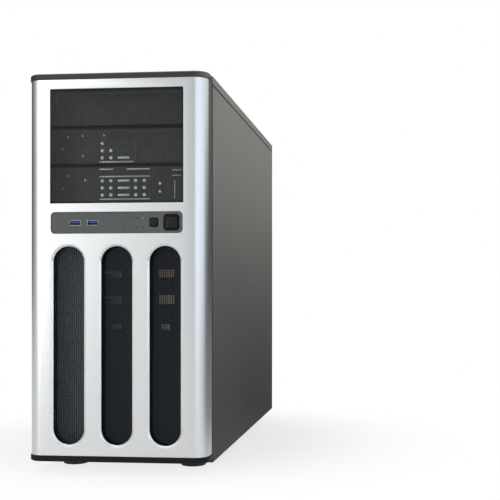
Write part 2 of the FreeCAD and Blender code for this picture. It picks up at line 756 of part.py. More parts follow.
def rear_panel():
    """Zinc-plated rear wall: vents, power supply opening, board window and latch windows."""
    y = WALL_IN_Y
    z1 = ROOF_Z - SKIN
    reveal_x = IO_X0 - IO_REVEAL
    lintel_z = IO_Z + IO_LINTEL
    window = [
        (BOARD_X, SLOT_WINDOW_Z), (BOARD_X, IO_TOP), (reveal_x, IO_TOP),
        (reveal_x, lintel_z), (SLOT_EDGE_X, lintel_z), (SLOT_EDGE_X, SLOT_WINDOW_Z),
    ]
    lock_x = -HALF + LOCK_SLOT_X
    lock_z = IO_Z + LOCK_SLOT_RISE
    holes = [psu_outline(y), rounded(window, IO_REVEAL, y)]
    holes.append(rect(lock_x - LOCK_SLOT_WIDTH / 2, lock_x + LOCK_SLOT_WIDTH / 2,
                      lock_z - LOCK_SLOT_HEIGHT / 2, lock_z + LOCK_SLOT_HEIGHT / 2, y))
    holes += fan_vent(y) + side_vent(y) + fan_screws(y) + psu_screws(y) + latch_windows(y)
    return plate(rect(-WALL_HALF, WALL_HALF, FLOOR_Z, z1, y), holes, SHEET)


def panel_brackets():
    """Four brackets riveted behind the rear wall that take the panels' thumbscrews."""
    y = WALL_IN_Y - SHEET
    reach = HALF - SKIN - SEAT_GAP
    brackets = []
    for side in (-1, 1):
        for z in SCREW_ZS:
            edges = sorted((side * (WALL_HALF - BRACKET_LAP), side * reach))
            sheet = rect(edges[0], edges[1], z - BRACKET_BELOW, z + BRACKET_ABOVE, y)
            hole = regular(side * SCREW_X, z, SCREW_HOLE_RADIUS, HOLE_SIDES, y)
            brackets.append(plate(sheet, [hole], SHEET))
    return Part.makeCompound(brackets)


def slot_frame():
    """Inner sheet behind the window: I/O aperture above, recessed slot pan below."""
    mouth_x0 = SLOT_EDGE_X
    mouth_x1 = BOARD_X
    mouth_z0 = SLOT_WINDOW_Z
    mouth_z1 = IO_Z - SHEET
    flange_y = WALL_IN_Y - SHEET
    edge_x0 = mouth_x0 - FRAME_FLANGE
    edge_x1 = mouth_x1 + FRAME_FLANGE
    edge_z0 = mouth_z0 - FRAME_FLANGE
    edge_z1 = IO_TOP + FRAME_FLANGE
    step_x = IO_X0 - FRAME_FLANGE
    step_z = mouth_z1 + FRAME_FLANGE
    edge = [(edge_x0, edge_z0), (edge_x1, edge_z0), (edge_x1, edge_z1),
            (step_x, edge_z1), (step_x, step_z), (edge_x0, step_z)]
    flange = plate(
        outline(edge, flange_y),
        [rect(mouth_x0, mouth_x1, mouth_z0, mouth_z1, flange_y),
         rect(IO_X0, BOARD_X, IO_Z, IO_TOP, flange_y)], SHEET)
    walls = plate(
        rect(mouth_x0 - SHEET, mouth_x1 + SHEET, mouth_z0 - SHEET, mouth_z1 + SHEET, FRAME_FLOOR_Y),
        [rect(mouth_x0, mouth_x1, mouth_z0, mouth_z1, FRAME_FLOOR_Y)], flange_y - FRAME_FLOOR_Y)
    floor_y = FRAME_FLOOR_Y - SHEET
    openings = []
    for k in range(SLOT_COUNT):
        z = slot_z(k)
        h = SLOT_OPENING / 2
        openings.append(rect(mouth_x0 + SLOT_END_MARGIN, mouth_x1 - SLOT_END_MARGIN, z - h, z + h, floor_y))
        rib_z = z - SLOT_PITCH / 2
        for offset in RIB_SLOT_OFFSETS:
            x = mouth_x1 - offset
            openings.append(rect(x - RIB_SLOT_LENGTH / 2, x + RIB_SLOT_LENGTH / 2,
                                 rib_z - RIB_SLOT_HEIGHT / 2, rib_z + RIB_SLOT_HEIGHT / 2, floor_y))
    floor = plate(
        rect(mouth_x0 - SHEET, mouth_x1 + SHEET, mouth_z0 - SHEET, mouth_z1 + SHEET, floor_y),
        openings, SHEET)
    return fuse([flange, walls, floor])


def slot_cover(k):
    """Vented cover strip of one slot, with the bent tab that its latch holds."""
    z = slot_z(k)
    h = (SLOT_PITCH - COVER_SPACING) / 2
    y1 = FRAME_FLOOR_Y - SHEET
    y0 = y1 - COVER_THICKNESS
    tab_x1 = SLOT_EDGE_X - SHEET
    tab_x0 = tab_x1 - COVER_THICKNESS
    end_x = BOARD_X - COVER_END_GAP
    vents = []
    for i in range(VENT_COUNT):
        x = BOARD_X - VENT_START - i * VENT_PITCH
        vents.append(rect(x - VENT_LENGTH / 2, x + VENT_LENGTH / 2,
                          z - VENT_HEIGHT / 2, z + VENT_HEIGHT / 2, y0))
    strip = plate(rect(tab_x0, end_x, z - h, z + h, y0), vents, COVER_THICKNESS)
    tab = box(tab_x0, tab_x1, y1, WALL_IN_Y - SHEET - COVER_TAB_GAP, z - h, z + h)
    return fuse([strip, tab])


def slot_latch(k):
    """Blue latch snapped on the rod: a sloped tab in the window and an arm to the cover's tab."""
    z = slot_z(k) + LATCH_RISE
    h = LATCH_HEIGHT / 2
    nose_x = SLOT_EDGE_X - SHEET - COVER_THICKNESS - SEAT_GAP
    tab_x0 = LATCH_X0 + 2 * SEAT_GAP
    tab_x1 = LATCH_X1 - 2 * SEAT_GAP
    crest_y = WALL_OUT_Y + LATCH_CREST
    low_y = WALL_IN_Y - LATCH_SLOPE_DROP
    crest_end = tab_x0 + LATCH_ARM
    arm_y1 = PIVOT_Y
    arm_y0 = PIVOT_Y - LATCH_ARM
    grip = ROD_RADIUS + ROD_CLEARANCE
    points = [
        (PIVOT_X - LATCH_HEEL, arm_y0), (PIVOT_X - grip, arm_y0), (PIVOT_X - grip, PIVOT_Y + grip),
        (PIVOT_X + grip, PIVOT_Y + grip), (PIVOT_X + grip, arm_y0), (nose_x, arm_y0), (nose_x, arm_y1),
        (tab_x1, arm_y1), (tab_x1, low_y), (crest_end, crest_y), (tab_x0, crest_y),
        (tab_x0, PIVOT_Y + LATCH_HEEL), (PIVOT_X - LATCH_HEEL, PIVOT_Y + LATCH_HEEL),
    ]
    return plan_solid(points, z - h, z + h)


def rod_ends():
    """Z of the rod's lower and upper lug."""
    reach = LATCH_HEIGHT / 2 + LUG_GAP
    low = slot_z(0) + LATCH_RISE - reach - LUG_THICKNESS
    high = slot_z(SLOT_COUNT - 1) + LATCH_RISE + reach
    return low, high


def latch_rod():
    """Rod between the two lugs, through the notches of all the latches."""
    low, high = rod_ends()
    start = low + LUG_THICKNESS
    return Part.makeCylinder(ROD_RADIUS, high - start, Vector(PIVOT_X, PIVOT_Y, start))


def latch_lugs():
    """Two lugs on the rear wall that hold the ends of the latch rod."""
    lugs = []
    h = LUG_WIDTH / 2
    for z in rod_ends():
        lugs.append(box(PIVOT_X - h, PIVOT_X + h, PIVOT_Y - h, WALL_IN_Y, z, z + LUG_THICKNESS))
    return Part.makeCompound(lugs)


def top_cover():
    """Painted roof with side lips and a rear flange over the rear wall."""
    roof = box(-HALF, HALF, CHASSIS_Y, REAR_Y, ROOF_Z - SKIN, ROOF_Z)
    lip_z = ROOF_Z - COVER_LIP
    left = box(-HALF, SKIN - HALF, CHASSIS_Y, REAR_Y, lip_z, ROOF_Z - SKIN)
    right = box(HALF - SKIN, HALF, CHASSIS_Y, REAR_Y, lip_z, ROOF_Z - SKIN)
    rear = box(-HALF, HALF, WALL_OUT_Y, REAR_Y, lip_z, ROOF_Z - SKIN)
    lap_half = HALF - SKIN - SEAT_GAP
    lap = box(-lap_half, lap_half, WALL_OUT_Y, REAR_Y, ROOF_Z - COVER_REAR_FLANGE, lip_z)
    return fuse([roof, left, right, rear, lap])


def side_panel(side):
    """Painted side panel: hemmed sheet whose rear flange laps over the rear wall."""
    z0 = FLOOR_Z
    z1 = ROOF_Z - COVER_LIP - SEAM
    flange_top = ROOF_Z - COVER_REAR_FLANGE - SEAM
    y0 = CHASSIS_Y + PANEL_FRONT_GAP
    hem_y = WALL_IN_Y - PANEL_TRAVEL - SEAT_GAP
    hem_x = HALF - SKIN - PANEL_HEM

    def side_box(x0, x1, *rest):
        return box(min(side * x0, side * x1), max(side * x0, side * x1), *rest)

    sheet = side_box(HALF - SKIN, HALF, y0, WALL_OUT_Y, z0, z1)
    front = side_box(hem_x, HALF - SKIN, y0, y0 + SKIN, z0, z1)
    low = side_box(hem_x, HALF - SKIN, y0, hem_y, z0, z0 + SKIN)
    high = side_box(hem_x, HALF - SKIN, y0, hem_y, z1 - SKIN, z1)
    edge_x = HALF - PANEL_FLANGE
    points = [(side * HALF, z0), (side * HALF, flange_top), (side * edge_x, flange_top)]
    points += grip_notch(side, edge_x + GRIP_DEPTH, edge_x, GRIP_TAPER)[::-1]
    points += [(side * edge_x, z0)]
    holes = [regular(side * SCREW_X, z, SCREW_HOLE_RADIUS, HOLE_SIDES, WALL_OUT_Y) for z in SCREW_ZS]
    flange = plate(outline(points, WALL_OUT_Y), holes, SKIN)
    return fuse([sheet, front, low, high, flange])


def thumbscrews(side):
    """Two captive thumbscrews through a panel's rear flange."""
    screws = []
    for z in SCREW_ZS:
        x = side * SCREW_X
        head = plate(regular(x, z, SCREW_HEAD_RADIUS, SCREW_HEAD_SIDES, REAR_Y), [], SCREW_HEAD_LENGTH)
        shank_y = REAR_Y - SCREW_REACH
        shank = plate(regular(x, z, SCREW_SHANK_RADIUS, HOLE_SIDES, shank_y), [], SCREW_REACH)
        screws.append(fuse([head, shank]))
    return Part.makeCompound(screws)


def motherboard_tray():
    """Upright tray sheet with a cooler window and a foot flange on the chassis floor."""
    z0 = FLOOR_Z + SHEET
    y1 = WALL_IN_Y - SHEET
    y0 = y1 - TRAY_LENGTH
    sheet = box(TRAY_X, TRAY_X + SHEET, y0, y1, z0, z0 + TRAY_HEIGHT)
    window_y1 = y1 - TRAY_WINDOW_BACK
    window = box(TRAY_X, TRAY_X + SHEET, window_y1 - TRAY_WINDOW_WIDTH, window_y1,
                 z0 + TRAY_WINDOW_RISE, z0 + TRAY_WINDOW_RISE + TRAY_WINDOW_HEIGHT)
    foot = box(TRAY_X + SHEET, TRAY_X + SHEET + TRAY_FLANGE, y0, y1, z0, z0 + SHEET)
    return fuse([sheet.cut(window), foot])


def drive_cage():
    """Open-ended cage behind the bays, hung from the roof by its flanges."""
    y0 = CHASSIS_Y + SHEET
    y1 = y0 + CAGE_DEPTH
    z1 = ROOF_Z - SKIN
    wide = CAGE_HALF + SHEET
    floor = box(-wide, wide, y0, y1, WINDOW_Z - SHEET, WINDOW_Z)
    walls = []
    for side in (-1, 1):
        inner = side * CAGE_HALF
        outer = side * wide
        tip = side * (wide + CAGE_FLANGE)
        walls.append(box(min(inner, outer), max(inner, outer), y0, y1, WINDOW_Z, z1))
        walls.append(box(min(outer, tip), max(outer, tip), y0, y1, z1 - SHEET, z1))
    return fuse([floor] + walls)


def hdd_cage():
    """Hard disk cage on the chassis floor, with rail slots in both walls."""
    y0 = CHASSIS_Y + HDD_CAGE_SETBACK
    y1 = y0 + HDD_CAGE_DEPTH
    z0 = FLOOR_Z + SHEET
    z1 = z0 + HDD_CAGE_HEIGHT
    wide = HDD_CAGE_HALF + SHEET
    top = box(-wide, wide, y0, y1, z1 - SHEET, z1)
    pieces = [top]
    cuts = []
    mid_y = (y0 + y1) / 2
    for side in (-1, 1):
        inner = side * HDD_CAGE_HALF
        outer = side * wide
        tip = side * (wide + CAGE_FLANGE)
        pieces.append(box(min(inner, outer), max(inner, outer), y0, y1, z0, z1 - SHEET))
        pieces.append(box(min(outer, tip), max(outer, tip), y0, y1, z0, z0 + SHEET))
        for k in range(HDD_SLOT_COUNT):
            z = z0 + HDD_SLOT_PITCH / 2 + k * HDD_SLOT_PITCH
            cuts.append(box(min(inner, outer), max(inner, outer),
                            mid_y - HDD_SLOT_LENGTH / 2, mid_y + HDD_SLOT_LENGTH / 2,
                            z, z + HDD_SLOT_HEIGHT))
    return fuse(pieces).cut(cuts)


def feet():
    """Four round feet under the chassis floor."""
    solids = []
    for x in (-FOOT_X, FOOT_X):
        for y in (FRONT_Y + FOOT_FRONT, REAR_Y - FOOT_REAR):
            sole = level_polygon(x, y, FOOT_RADIUS - FOOT_TAPER, FOOT_SIDES, 0)
            top = level_polygon(x, y, FOOT_RADIUS, FOOT_SIDES, FOOT_HEIGHT)
            solids.append(Part.makeLoft([sole, top], True, True))
    return Part.makeCompound(solids)


def base_bar():
    """Dark cross bar under the floor, just in front of the rear feet."""
    y1 = REAR_Y - FOOT_REAR - FOOT_RADIUS - SEAT_GAP
    return box(-FOOT_X, FOOT_X, y1 - BAR_DEPTH, y1, FLOOR_Z - BAR_HEIGHT, FLOOR_Z)


def build():
    """Every piece of the case by name."""
    nodes = {
        "front_bezel": front_bezel(),
        "bezel_top_cap": bezel_cap(BEZEL_Z1, True),
        "bezel_bottom_cap": bezel_cap(BEZEL_Z0 - CAP_HEIGHT, False),
        "intake_grille": intake_grille(),
        "control_strip": control_strip(),
        "usb_shells": usb_shells(),
        "usb_tongues": usb_tongues(),
        "indicator_lamps": indicator_lamps(),
        "front_io_board": front_io_board(),
        "button_switches": button_switches(),
        "power_button": push_button(POWER_X, POWER_SIZE, POWER_FACE, POWER_CORNER, POWER_TRAVEL),
        "locator_button": push_button(LOCATOR_X, LOCATOR_SIZE, LOCATOR_FACE, LOCATOR_CORNER, LOCATOR_TRAVEL),
        "bottom_pan": bottom_pan(),
        "front_wall": front_wall(),
        "rear_panel": rear_panel(),
        "panel_brackets": panel_brackets(),
        "slot_frame": slot_frame(),
        "latch_rod": latch_rod(),
        "latch_lugs": latch_lugs(),
        "top_cover": top_cover(),
        "left_side_panel": side_panel(-1),
        "right_side_panel": side_panel(1),
        "left_thumbscrews": thumbscrews(-1),
        "right_thumbscrews": thumbscrews(1),
        "motherboard_tray": motherboard_tray(),
        "drive_cage": drive_cage(),
        "hdd_cage": hdd_cage(),
        "feet": feet(),
        "base_bar": base_bar(),
    }
    for index, name in enumerate(BAY_NAMES):
        nodes["bay_cover_" + name] = bay_cover(index)
    for k in range(SLOT_COUNT):
        nodes["slot_cover_%d" % (k + 1)] = slot_cover(k)
        nodes["slot_latch_%d" % (k + 1)] = slot_latch(k)
    return nodes


os.makedirs(OUT_DIR, exist_ok=True)
for node, shape in build().items():
    shape.exportStep(os.path.join(OUT_DIR, node + ".step"))
    print(node, len(shape.Solids), "solids", shape.isValid(), round(shape.Volume))
print("overall", round(CASE_WIDTH, 2), round(BEZEL_DEPTH + BODY_DEPTH, 2), round(ROOF_Z, 2))
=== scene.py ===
import json
import math

import bmesh
import bpy
from mathutils import Matrix, Vector


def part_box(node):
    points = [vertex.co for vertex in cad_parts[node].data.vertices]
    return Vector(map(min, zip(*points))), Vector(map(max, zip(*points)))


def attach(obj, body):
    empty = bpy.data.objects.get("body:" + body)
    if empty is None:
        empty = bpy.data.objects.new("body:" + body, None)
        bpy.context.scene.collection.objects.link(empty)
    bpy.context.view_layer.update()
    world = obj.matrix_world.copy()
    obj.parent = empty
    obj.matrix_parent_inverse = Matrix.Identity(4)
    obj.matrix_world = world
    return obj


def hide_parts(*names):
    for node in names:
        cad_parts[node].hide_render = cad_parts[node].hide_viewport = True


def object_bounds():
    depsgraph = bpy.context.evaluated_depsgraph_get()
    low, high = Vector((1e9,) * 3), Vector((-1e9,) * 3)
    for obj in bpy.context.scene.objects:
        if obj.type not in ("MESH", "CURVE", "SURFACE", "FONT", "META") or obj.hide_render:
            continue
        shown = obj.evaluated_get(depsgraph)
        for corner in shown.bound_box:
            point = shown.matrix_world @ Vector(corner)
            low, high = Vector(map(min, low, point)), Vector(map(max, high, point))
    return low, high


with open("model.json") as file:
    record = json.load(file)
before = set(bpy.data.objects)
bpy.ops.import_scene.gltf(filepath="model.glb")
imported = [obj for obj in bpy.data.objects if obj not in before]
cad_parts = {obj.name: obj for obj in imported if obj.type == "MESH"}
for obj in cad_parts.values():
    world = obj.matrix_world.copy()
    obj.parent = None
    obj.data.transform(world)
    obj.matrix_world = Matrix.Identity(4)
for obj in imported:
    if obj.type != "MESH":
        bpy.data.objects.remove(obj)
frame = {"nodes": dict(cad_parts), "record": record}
cad_box = [list(v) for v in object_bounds()]
nodes = frame["nodes"]
bpy.context.view_layer.update()
MM = 0.001


# Materials: each takes its colour, roughness and relief from procedural textures in object space.
NOISE_LOW = 0.3
NOISE_HIGH = 0.7
CRYSTAL_SCALE = 130.0
ROLL_SCALE = 420.0
ROLL_STRETCH = (1.0, 1.0, 0.08)
ROLL_ROUGH = 0.06


def tree_of(name):
    mat = bpy.data.materials.new(name)
    mat.use_nodes = True
    tree = mat.node_tree
    bsdf = tree.nodes["Principled BSDF"]
    coord = tree.nodes.new("ShaderNodeTexCoord")
    return mat, tree, bsdf, coord.outputs["Object"]


def noise(tree, vector, scale, detail=3.0, stretch=None):
    if stretch:
        mapping = tree.nodes.new("ShaderNodeMapping")
        mapping.inputs["Scale"].default_value = stretch
        tree.links.new(vector, mapping.inputs["Vector"])
        vector = mapping.outputs["Vector"]
    tex = tree.nodes.new("ShaderNodeTexNoise")
    tex.inputs["Scale"].default_value = scale
    tex.inputs["Detail"].default_value = detail
    tree.links.new(vector, tex.inputs["Vector"])
    return tex.outputs["Fac"]


def ramp(tree, fac, low, high, lo=NOISE_LOW, hi=NOISE_HIGH):
    node = tree.nodes.new("ShaderNodeValToRGB")
    node.color_ramp.elements[0].position = lo
    node.color_ramp.elements[1].position = hi
    node.color_ramp.elements[0].color = (*low, 1)
    node.color_ramp.elements[1].color = (*high, 1)
    tree.links.new(fac, node.inputs["Fac"])
    return node.outputs["Color"]


def remap(tree, value, start, stop, low, high, smooth=False):
    """The value carried from start..stop to low..high."""
    node = tree.nodes.new("ShaderNodeMapRange")
    if smooth:
        node.interpolation_type = "SMOOTHSTEP"
    for socket, number in (("From Min", start), ("From Max", stop), ("To Min", low), ("To Max", high)):
        node.inputs[socket].default_value = number
    tree.links.new(value, node.inputs["Value"])
    return node.outputs["Result"]


def relief(tree, bsdf, fac, strength, distance):
    node = tree.nodes.new("ShaderNodeBump")
    node.inputs["Strength"].default_value = strength
    node.inputs["Distance"].default_value = distance
    tree.links.new(fac, node.inputs["Height"])
    tree.links.new(node.outputs["Normal"], bsdf.inputs["Normal"])


def shade(colour, factor):
    return tuple(min(1.0, c * factor) for c in colour)


def finish_of(name, colour, rough, metal=0.0, vary=0.06, tone=9.0, grain=900.0, bump=0.15, depth=0.00004,
              rough_vary=0.05, specular=0.5):
    """Paint, plastic or bare metal: broad changes of tone and a fine grain."""
    mat, tree, bsdf, obj = tree_of(name)
    tone_fac = noise(tree, obj, tone, 4.0)
    grain_fac = noise(tree, obj, grain, 2.0)
    colours = ramp(tree, tone_fac, shade(colour, 1 - vary), shade(colour, 1 + vary))
    tree.links.new(colours, bsdf.inputs["Base Color"])
    roughness = remap(tree, grain_fac, NOISE_LOW, NOISE_HIGH, rough - rough_vary, rough + rough_vary)
    tree.links.new(roughness, bsdf.inputs["Roughness"])
    bsdf.inputs["Metallic"].default_value = metal
    bsdf.inputs["Specular IOR Level"].default_value = specular
    relief(tree, bsdf, grain_fac, bump, depth)
    return mat


def crystal_finish(name, low, high, rough, metal):
    """Zinc plate: metal with faint crystal patches and rolling marks."""
    mat, tree, bsdf, obj = tree_of(name)
    cells = tree.nodes.new("ShaderNodeTexVoronoi")
    cells.inputs["Scale"].default_value = CRYSTAL_SCALE
    tree.links.new(obj, cells.inputs["Vector"])
    grey = tree.nodes.new("ShaderNodeSeparateColor")
    tree.links.new(cells.outputs["Color"], grey.inputs["Color"])
    tree.links.new(ramp(tree, grey.outputs["Red"], low, high, 0.0, 1.0), bsdf.inputs["Base Color"])
    rolled = noise(tree, obj, ROLL_SCALE, 3.0, ROLL_STRETCH)
    roughness = remap(tree, rolled, NOISE_LOW, NOISE_HIGH, rough - ROLL_ROUGH, rough + ROLL_ROUGH)
    tree.links.new(roughness, bsdf.inputs["Roughness"])
    bsdf.inputs["Metallic"].default_value = metal
    relief(tree, bsdf, rolled, 0.05, 0.00003)
    return mat


SILVER = finish_of("silver_paint", (0.81, 0.825, 0.83), 0.35, metal=1.0, vary=0.012, tone=5.0, grain=2600.0,
                   bump=0.01, depth=0.00001, rough_vary=0.01)
# Painted highlight: the silver paint made near white and barely metallic, for the bright line along the intake
# rims.
RIM_HIGHLIGHT = finish_of("silver_painted_highlight", (0.96, 0.965, 0.965), 0.30, metal=0.15, vary=0.012, tone=5.0, grain=2600.0,
                 bump=0.01, depth=0.00001, rough_vary=0.01)
CAP = finish_of("cap_plastic", (0.031, 0.032, 0.033), 0.46, grain=1500.0, bump=0.2, specular=0.35)
SOLE = finish_of("cap_dark", (0.006, 0.006, 0.007), 0.5, grain=1500.0, bump=0.2, specular=0.2)
STRIP = finish_of("strip_plastic", (0.098, 0.102, 0.099), 0.55, grain=1800.0, bump=0.25, vary=0.04)
GLOSS = finish_of("button_gloss", (0.004, 0.004, 0.005), 0.17, grain=600.0, bump=0.02, specular=0.22)
KEY = finish_of("button_face", (0.010, 0.0115, 0.012), 0.40, grain=1600.0, bump=0.06, specular=0.24)
MESH = finish_of("mesh_black", (0.122, 0.131, 0.125), 0.46, metal=0.1, grain=1200.0, bump=0.1)
INTAKE = finish_of("intake_black", (0.036, 0.042, 0.047), 0.30, metal=1.0, grain=1200.0, bump=0.1)
COLLAR = finish_of("collar_black", (0.006, 0.006, 0.007), 0.5, grain=1200.0, bump=0.1, specular=0.25)
PANEL = finish_of("panel_paint", (0.082, 0.081, 0.077), 0.5, metal=0.0, vary=0.05, tone=4.0, grain=2200.0,
                  bump=0.22, depth=0.00003, specular=0.05)
BLUE = finish_of("latch_blue", (0.075, 0.175, 0.58), 0.38, vary=0.08, tone=60.0, grain=900.0, bump=0.12)
TONGUE = finish_of("tongue_blue", (0.030, 0.095, 0.46), 0.42, vary=0.06, tone=200.0, grain=900.0, bump=0.06)
RUBBER = finish_of("foot_rubber", (0.016, 0.016, 0.017), 0.72, grain=1400.0, bump=0.4)
LENS = finish_of("lamp_lens", (0.052, 0.054, 0.053), 0.28, vary=0.2, tone=900.0, grain=400.0, bump=0.02)
BOARD = finish_of("board_mask", (0.02, 0.12, 0.05), 0.45, vary=0.2, tone=300.0, grain=500.0)
STEEL = finish_of("bright_steel", (0.72, 0.73, 0.74), 0.24, metal=1.0, vary=0.05, grain=900.0, bump=0.08)
SCREW = finish_of("screw_steel", (0.47, 0.44, 0.40), 0.34, metal=0.9, vary=0.10, tone=400.0, grain=1500.0,
                  bump=0.1)
# Painted shade: near black standing for the shade inside holes, recesses and ports, and behind openings.
PAINTED_SHADE = finish_of("painted_recess_shade", (0.010, 0.010, 0.011), 0.6, grain=700.0)
SHADOW = finish_of("seam_shadow", (0.004, 0.004, 0.004), 0.9, grain=700.0, bump=0.02, specular=0.0)
ZINC = crystal_finish("zinc_plate", (0.62, 0.66, 0.65), (0.655, 0.692, 0.682), 0.46, 0.35)
# Inner zinc: the same zinc painted darker, as painted shade for the dim inside of the case.
ZINC_SHADED = crystal_finish("zinc_painted_shade", (0.36, 0.38, 0.38), (0.41, 0.43, 0.43), 0.5, 0.2)
# Shield zinc: the plate painted near black as shade, lit pressings painted near white as glints, the others as
# shaded zinc.
SHIELD = crystal_finish("shield_plate_painted_shade", (0.016, 0.017, 0.017), (0.024, 0.026, 0.025), 0.5, 0.3)
SHIELD_GLINT = crystal_finish("shield_painted_glint", (0.93, 0.95, 0.94), (0.97, 0.98, 0.97), 0.36, 0.75)
SHIELD_SHADED = crystal_finish("shield_painted_shade", (0.05, 0.053, 0.052), (0.07, 0.074, 0.073), 0.5, 0.3)
# Painted light and shade: a pale plate for the light through the left intake, and one zinc tab colour in a lit
# and a shaded copy.
PLATE_PAINTED_LIGHT = crystal_finish("plate_painted_light", (0.42, 0.44, 0.45), (0.46, 0.48, 0.49), 0.5, 0.1)
TAB = crystal_finish("tab_zinc_painted_light", (0.80, 0.68, 0.56), (0.90, 0.78, 0.65), 0.5, 0.1)
TAB_SHADED = crystal_finish("tab_painted_shade", (0.26, 0.25, 0.24), (0.31, 0.30, 0.285), 0.5, 0.1)
# Painted glow: a pale lens colour standing for a lit indicator lamp.
LIT = finish_of("lamp_painted_glow", (0.26, 0.27, 0.26), 0.3, vary=0.04, tone=900.0, grain=400.0, bump=0.02)

# What a CAD node wears by its slot in the record, unless a finer piece takes its place.
by_slot = {
    "silver": SILVER, "dark_plastic": CAP, "black_gloss": GLOSS, "black_mesh": MESH, "dark_paint": PANEL,
    "blue_plastic": BLUE, "rubber": RUBBER, "lamp": LENS, "circuit_board": BOARD, "bright_steel": STEEL,
    "zinc": ZINC,
}


def dress(obj, mat):
    obj.data.materials.clear()
    obj.data.materials.append(mat)


for sub in frame["record"]["subparts"]:
    dress(nodes[sub["node"]], by_slot[sub["material_slot"]])
# Inner parts wear the zinc painted darker for the shade inside the case.
for inner in ("front_wall", "drive_cage", "hdd_cage", "motherboard_tray", "bottom_pan", "latch_lugs"):
    dress(nodes[inner], ZINC_SHADED)


# Geometry helpers. All sizes in millimetres in the part's frame, written to metres here.
SHARP_ANGLE = 35.0
WELD_METRES = 2e-6
FLAT_ANGLE = 0.4
BEVEL_SEGMENTS = 2
BEVEL_ANGLE = 32.0


def put(name, mesh, mat, body, smooth=True):
    obj = bpy.data.objects.new(name, mesh)
    bpy.context.scene.collection.objects.link(obj)
    dress(obj, mat)
    mesh.polygons.foreach_set("use_smooth", [smooth] * len(mesh.polygons))
    if smooth:
        mesh.set_sharp_from_angle(angle=math.radians(SHARP_ANGLE))
    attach(obj, body)
    return obj


def soften(obj, width):
    edge = obj.modifiers.new("edge", "BEVEL")
    edge.width = width * MM
    edge.segments = BEVEL_SEGMENTS
    edge.limit_method = "ANGLE"
    edge.angle_limit = math.radians(BEVEL_ANGLE)
    edge.harden_normals = True


def mesh_from(name, verts, faces):
    mesh = bpy.data.meshes.new(name)
    mesh.from_pydata([(x * MM, y * MM, z * MM) for x, y, z in verts], [], faces)
    mesh.update()
    return mesh


def build(name, verts, faces, mat, body, smooth=True):
    """A piece straight from its vertex and face lists."""
    return put(name, mesh_from(name, verts, faces), mat, body, smooth)


def joined(name, parts):
    """One mesh from several, which are used up."""
    bm = bmesh.new()
    for part in parts:
        bm.from_mesh(part)
        bpy.data.meshes.remove(part)
    mesh = bpy.data.meshes.new(name)
    bm.to_mesh(mesh)
    bm.free()
    return mesh


def refined(node, width, mat, body):
    """The node's own form with welded faces and softened edges, shown in its place."""
    source = nodes[node]
    bm = bmesh.new()
    bm.from_mesh(source.data)
    bm.transform(source.matrix_world)
    bmesh.ops.remove_doubles(bm, verts=bm.verts[:], dist=WELD_METRES)
    bmesh.ops.dissolve_limit(bm, angle_limit=math.radians(FLAT_ANGLE), verts=bm.verts[:], edges=bm.edges[:])
    bm.verts.index_update()
    mesh = bpy.data.meshes.new(node + "_fine")
    mesh.from_pydata([v.co[:] for v in bm.verts], [], [[v.index for v in f.verts] for f in bm.faces])
    bm.free()
    piece = put(node + "_fine", mesh, mat, body)
    soften(piece, width)
    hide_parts(node)
    return piece


def add_box(verts, faces, x0, x1, y0, y1, z0, z1):
    n = len(verts)
    verts += [(x0, y0, z0), (x1, y0, z0), (x1, y1, z0), (x0, y1, z0),
              (x0, y0, z1), (x1, y0, z1), (x1, y1, z1), (x0, y1, z1)]
    faces += [(n, n + 3, n + 2, n + 1), (n + 4, n + 5, n + 6, n + 7), (n, n + 1, n + 5, n + 4),
              (n + 1, n + 2, n + 6, n + 5), (n + 2, n + 3, n + 7, n + 6), (n + 3, n, n + 4, n + 7)]


def add_loft(verts, faces, rings, cap_first=False, cap_last=False):
    """Skin over closed rings with equal counts of points."""
    start = len(verts)
    count = len(rings[0])
    for ring in rings:
        verts += ring
    for i in range(len(rings) - 1):
        a = start + i * count
        b = a + count
        faces += [(a + k, a + (k + 1) % count, b + (k + 1) % count, b + k) for k in range(count)]
    if cap_first:
        faces.append(tuple(start + k for k in reversed(range(count))))
    if cap_last:
        last = start + (len(rings) - 1) * count
        faces.append(tuple(last + k for k in range(count)))


def circle(x, z, radius, y, sides):
    turn = 2 * math.pi / sides
    return [(x + radius * math.cos(i * turn), y, z + radius * math.sin(i * turn)) for i in range(sides)]


def stadium(x, z, length, height, steps=8):
    """Level slot outline with half-round ends."""
    r = height / 2
    points = []
    for centre, start in ((x + length / 2 - r, -math.pi / 2), (x - length / 2 + r, math.pi / 2)):
        for i in range(steps + 1):
            a = start + math.pi * i / steps
            points.append((centre + r * math.cos(a), z + r * math.sin(a)))
    return points


def upright(x, z0, z1, width, steps=20):
    """Tall slot outline with half-round ends."""
    middle = (z0 + z1) / 2
    return [(x - (b - middle), middle + (a - x)) for a, b in stadium(x, middle, z1 - z0, width, steps)]


def at_y(points, y):
    return [(x, y, z) for x, z in points]


def shrunk(outline, scale, y):
    """The outline scaled about its middle, at depth y."""
    cx = sum(p[0] for p in outline) / len(outline)
    cz = sum(p[1] for p in outline) / len(outline)
    return [(cx + (x - cx) * scale, y, cz + (z - cz) * scale) for x, z in outline]


def rounded_square(x, z, half, corner, y, steps=6):
    points = []
    for sx, sz, start in ((1, 1, 0), (-1, 1, 90), (-1, -1, 180), (1, -1, 270)):
        for i in range(steps + 1):
            a = math.radians(start + 90 * i / steps)
            points.append((x + sx * (half - corner) + corner * math.cos(a), y,
                           z + sz * (half - corner) + corner * math.sin(a)))
    return points


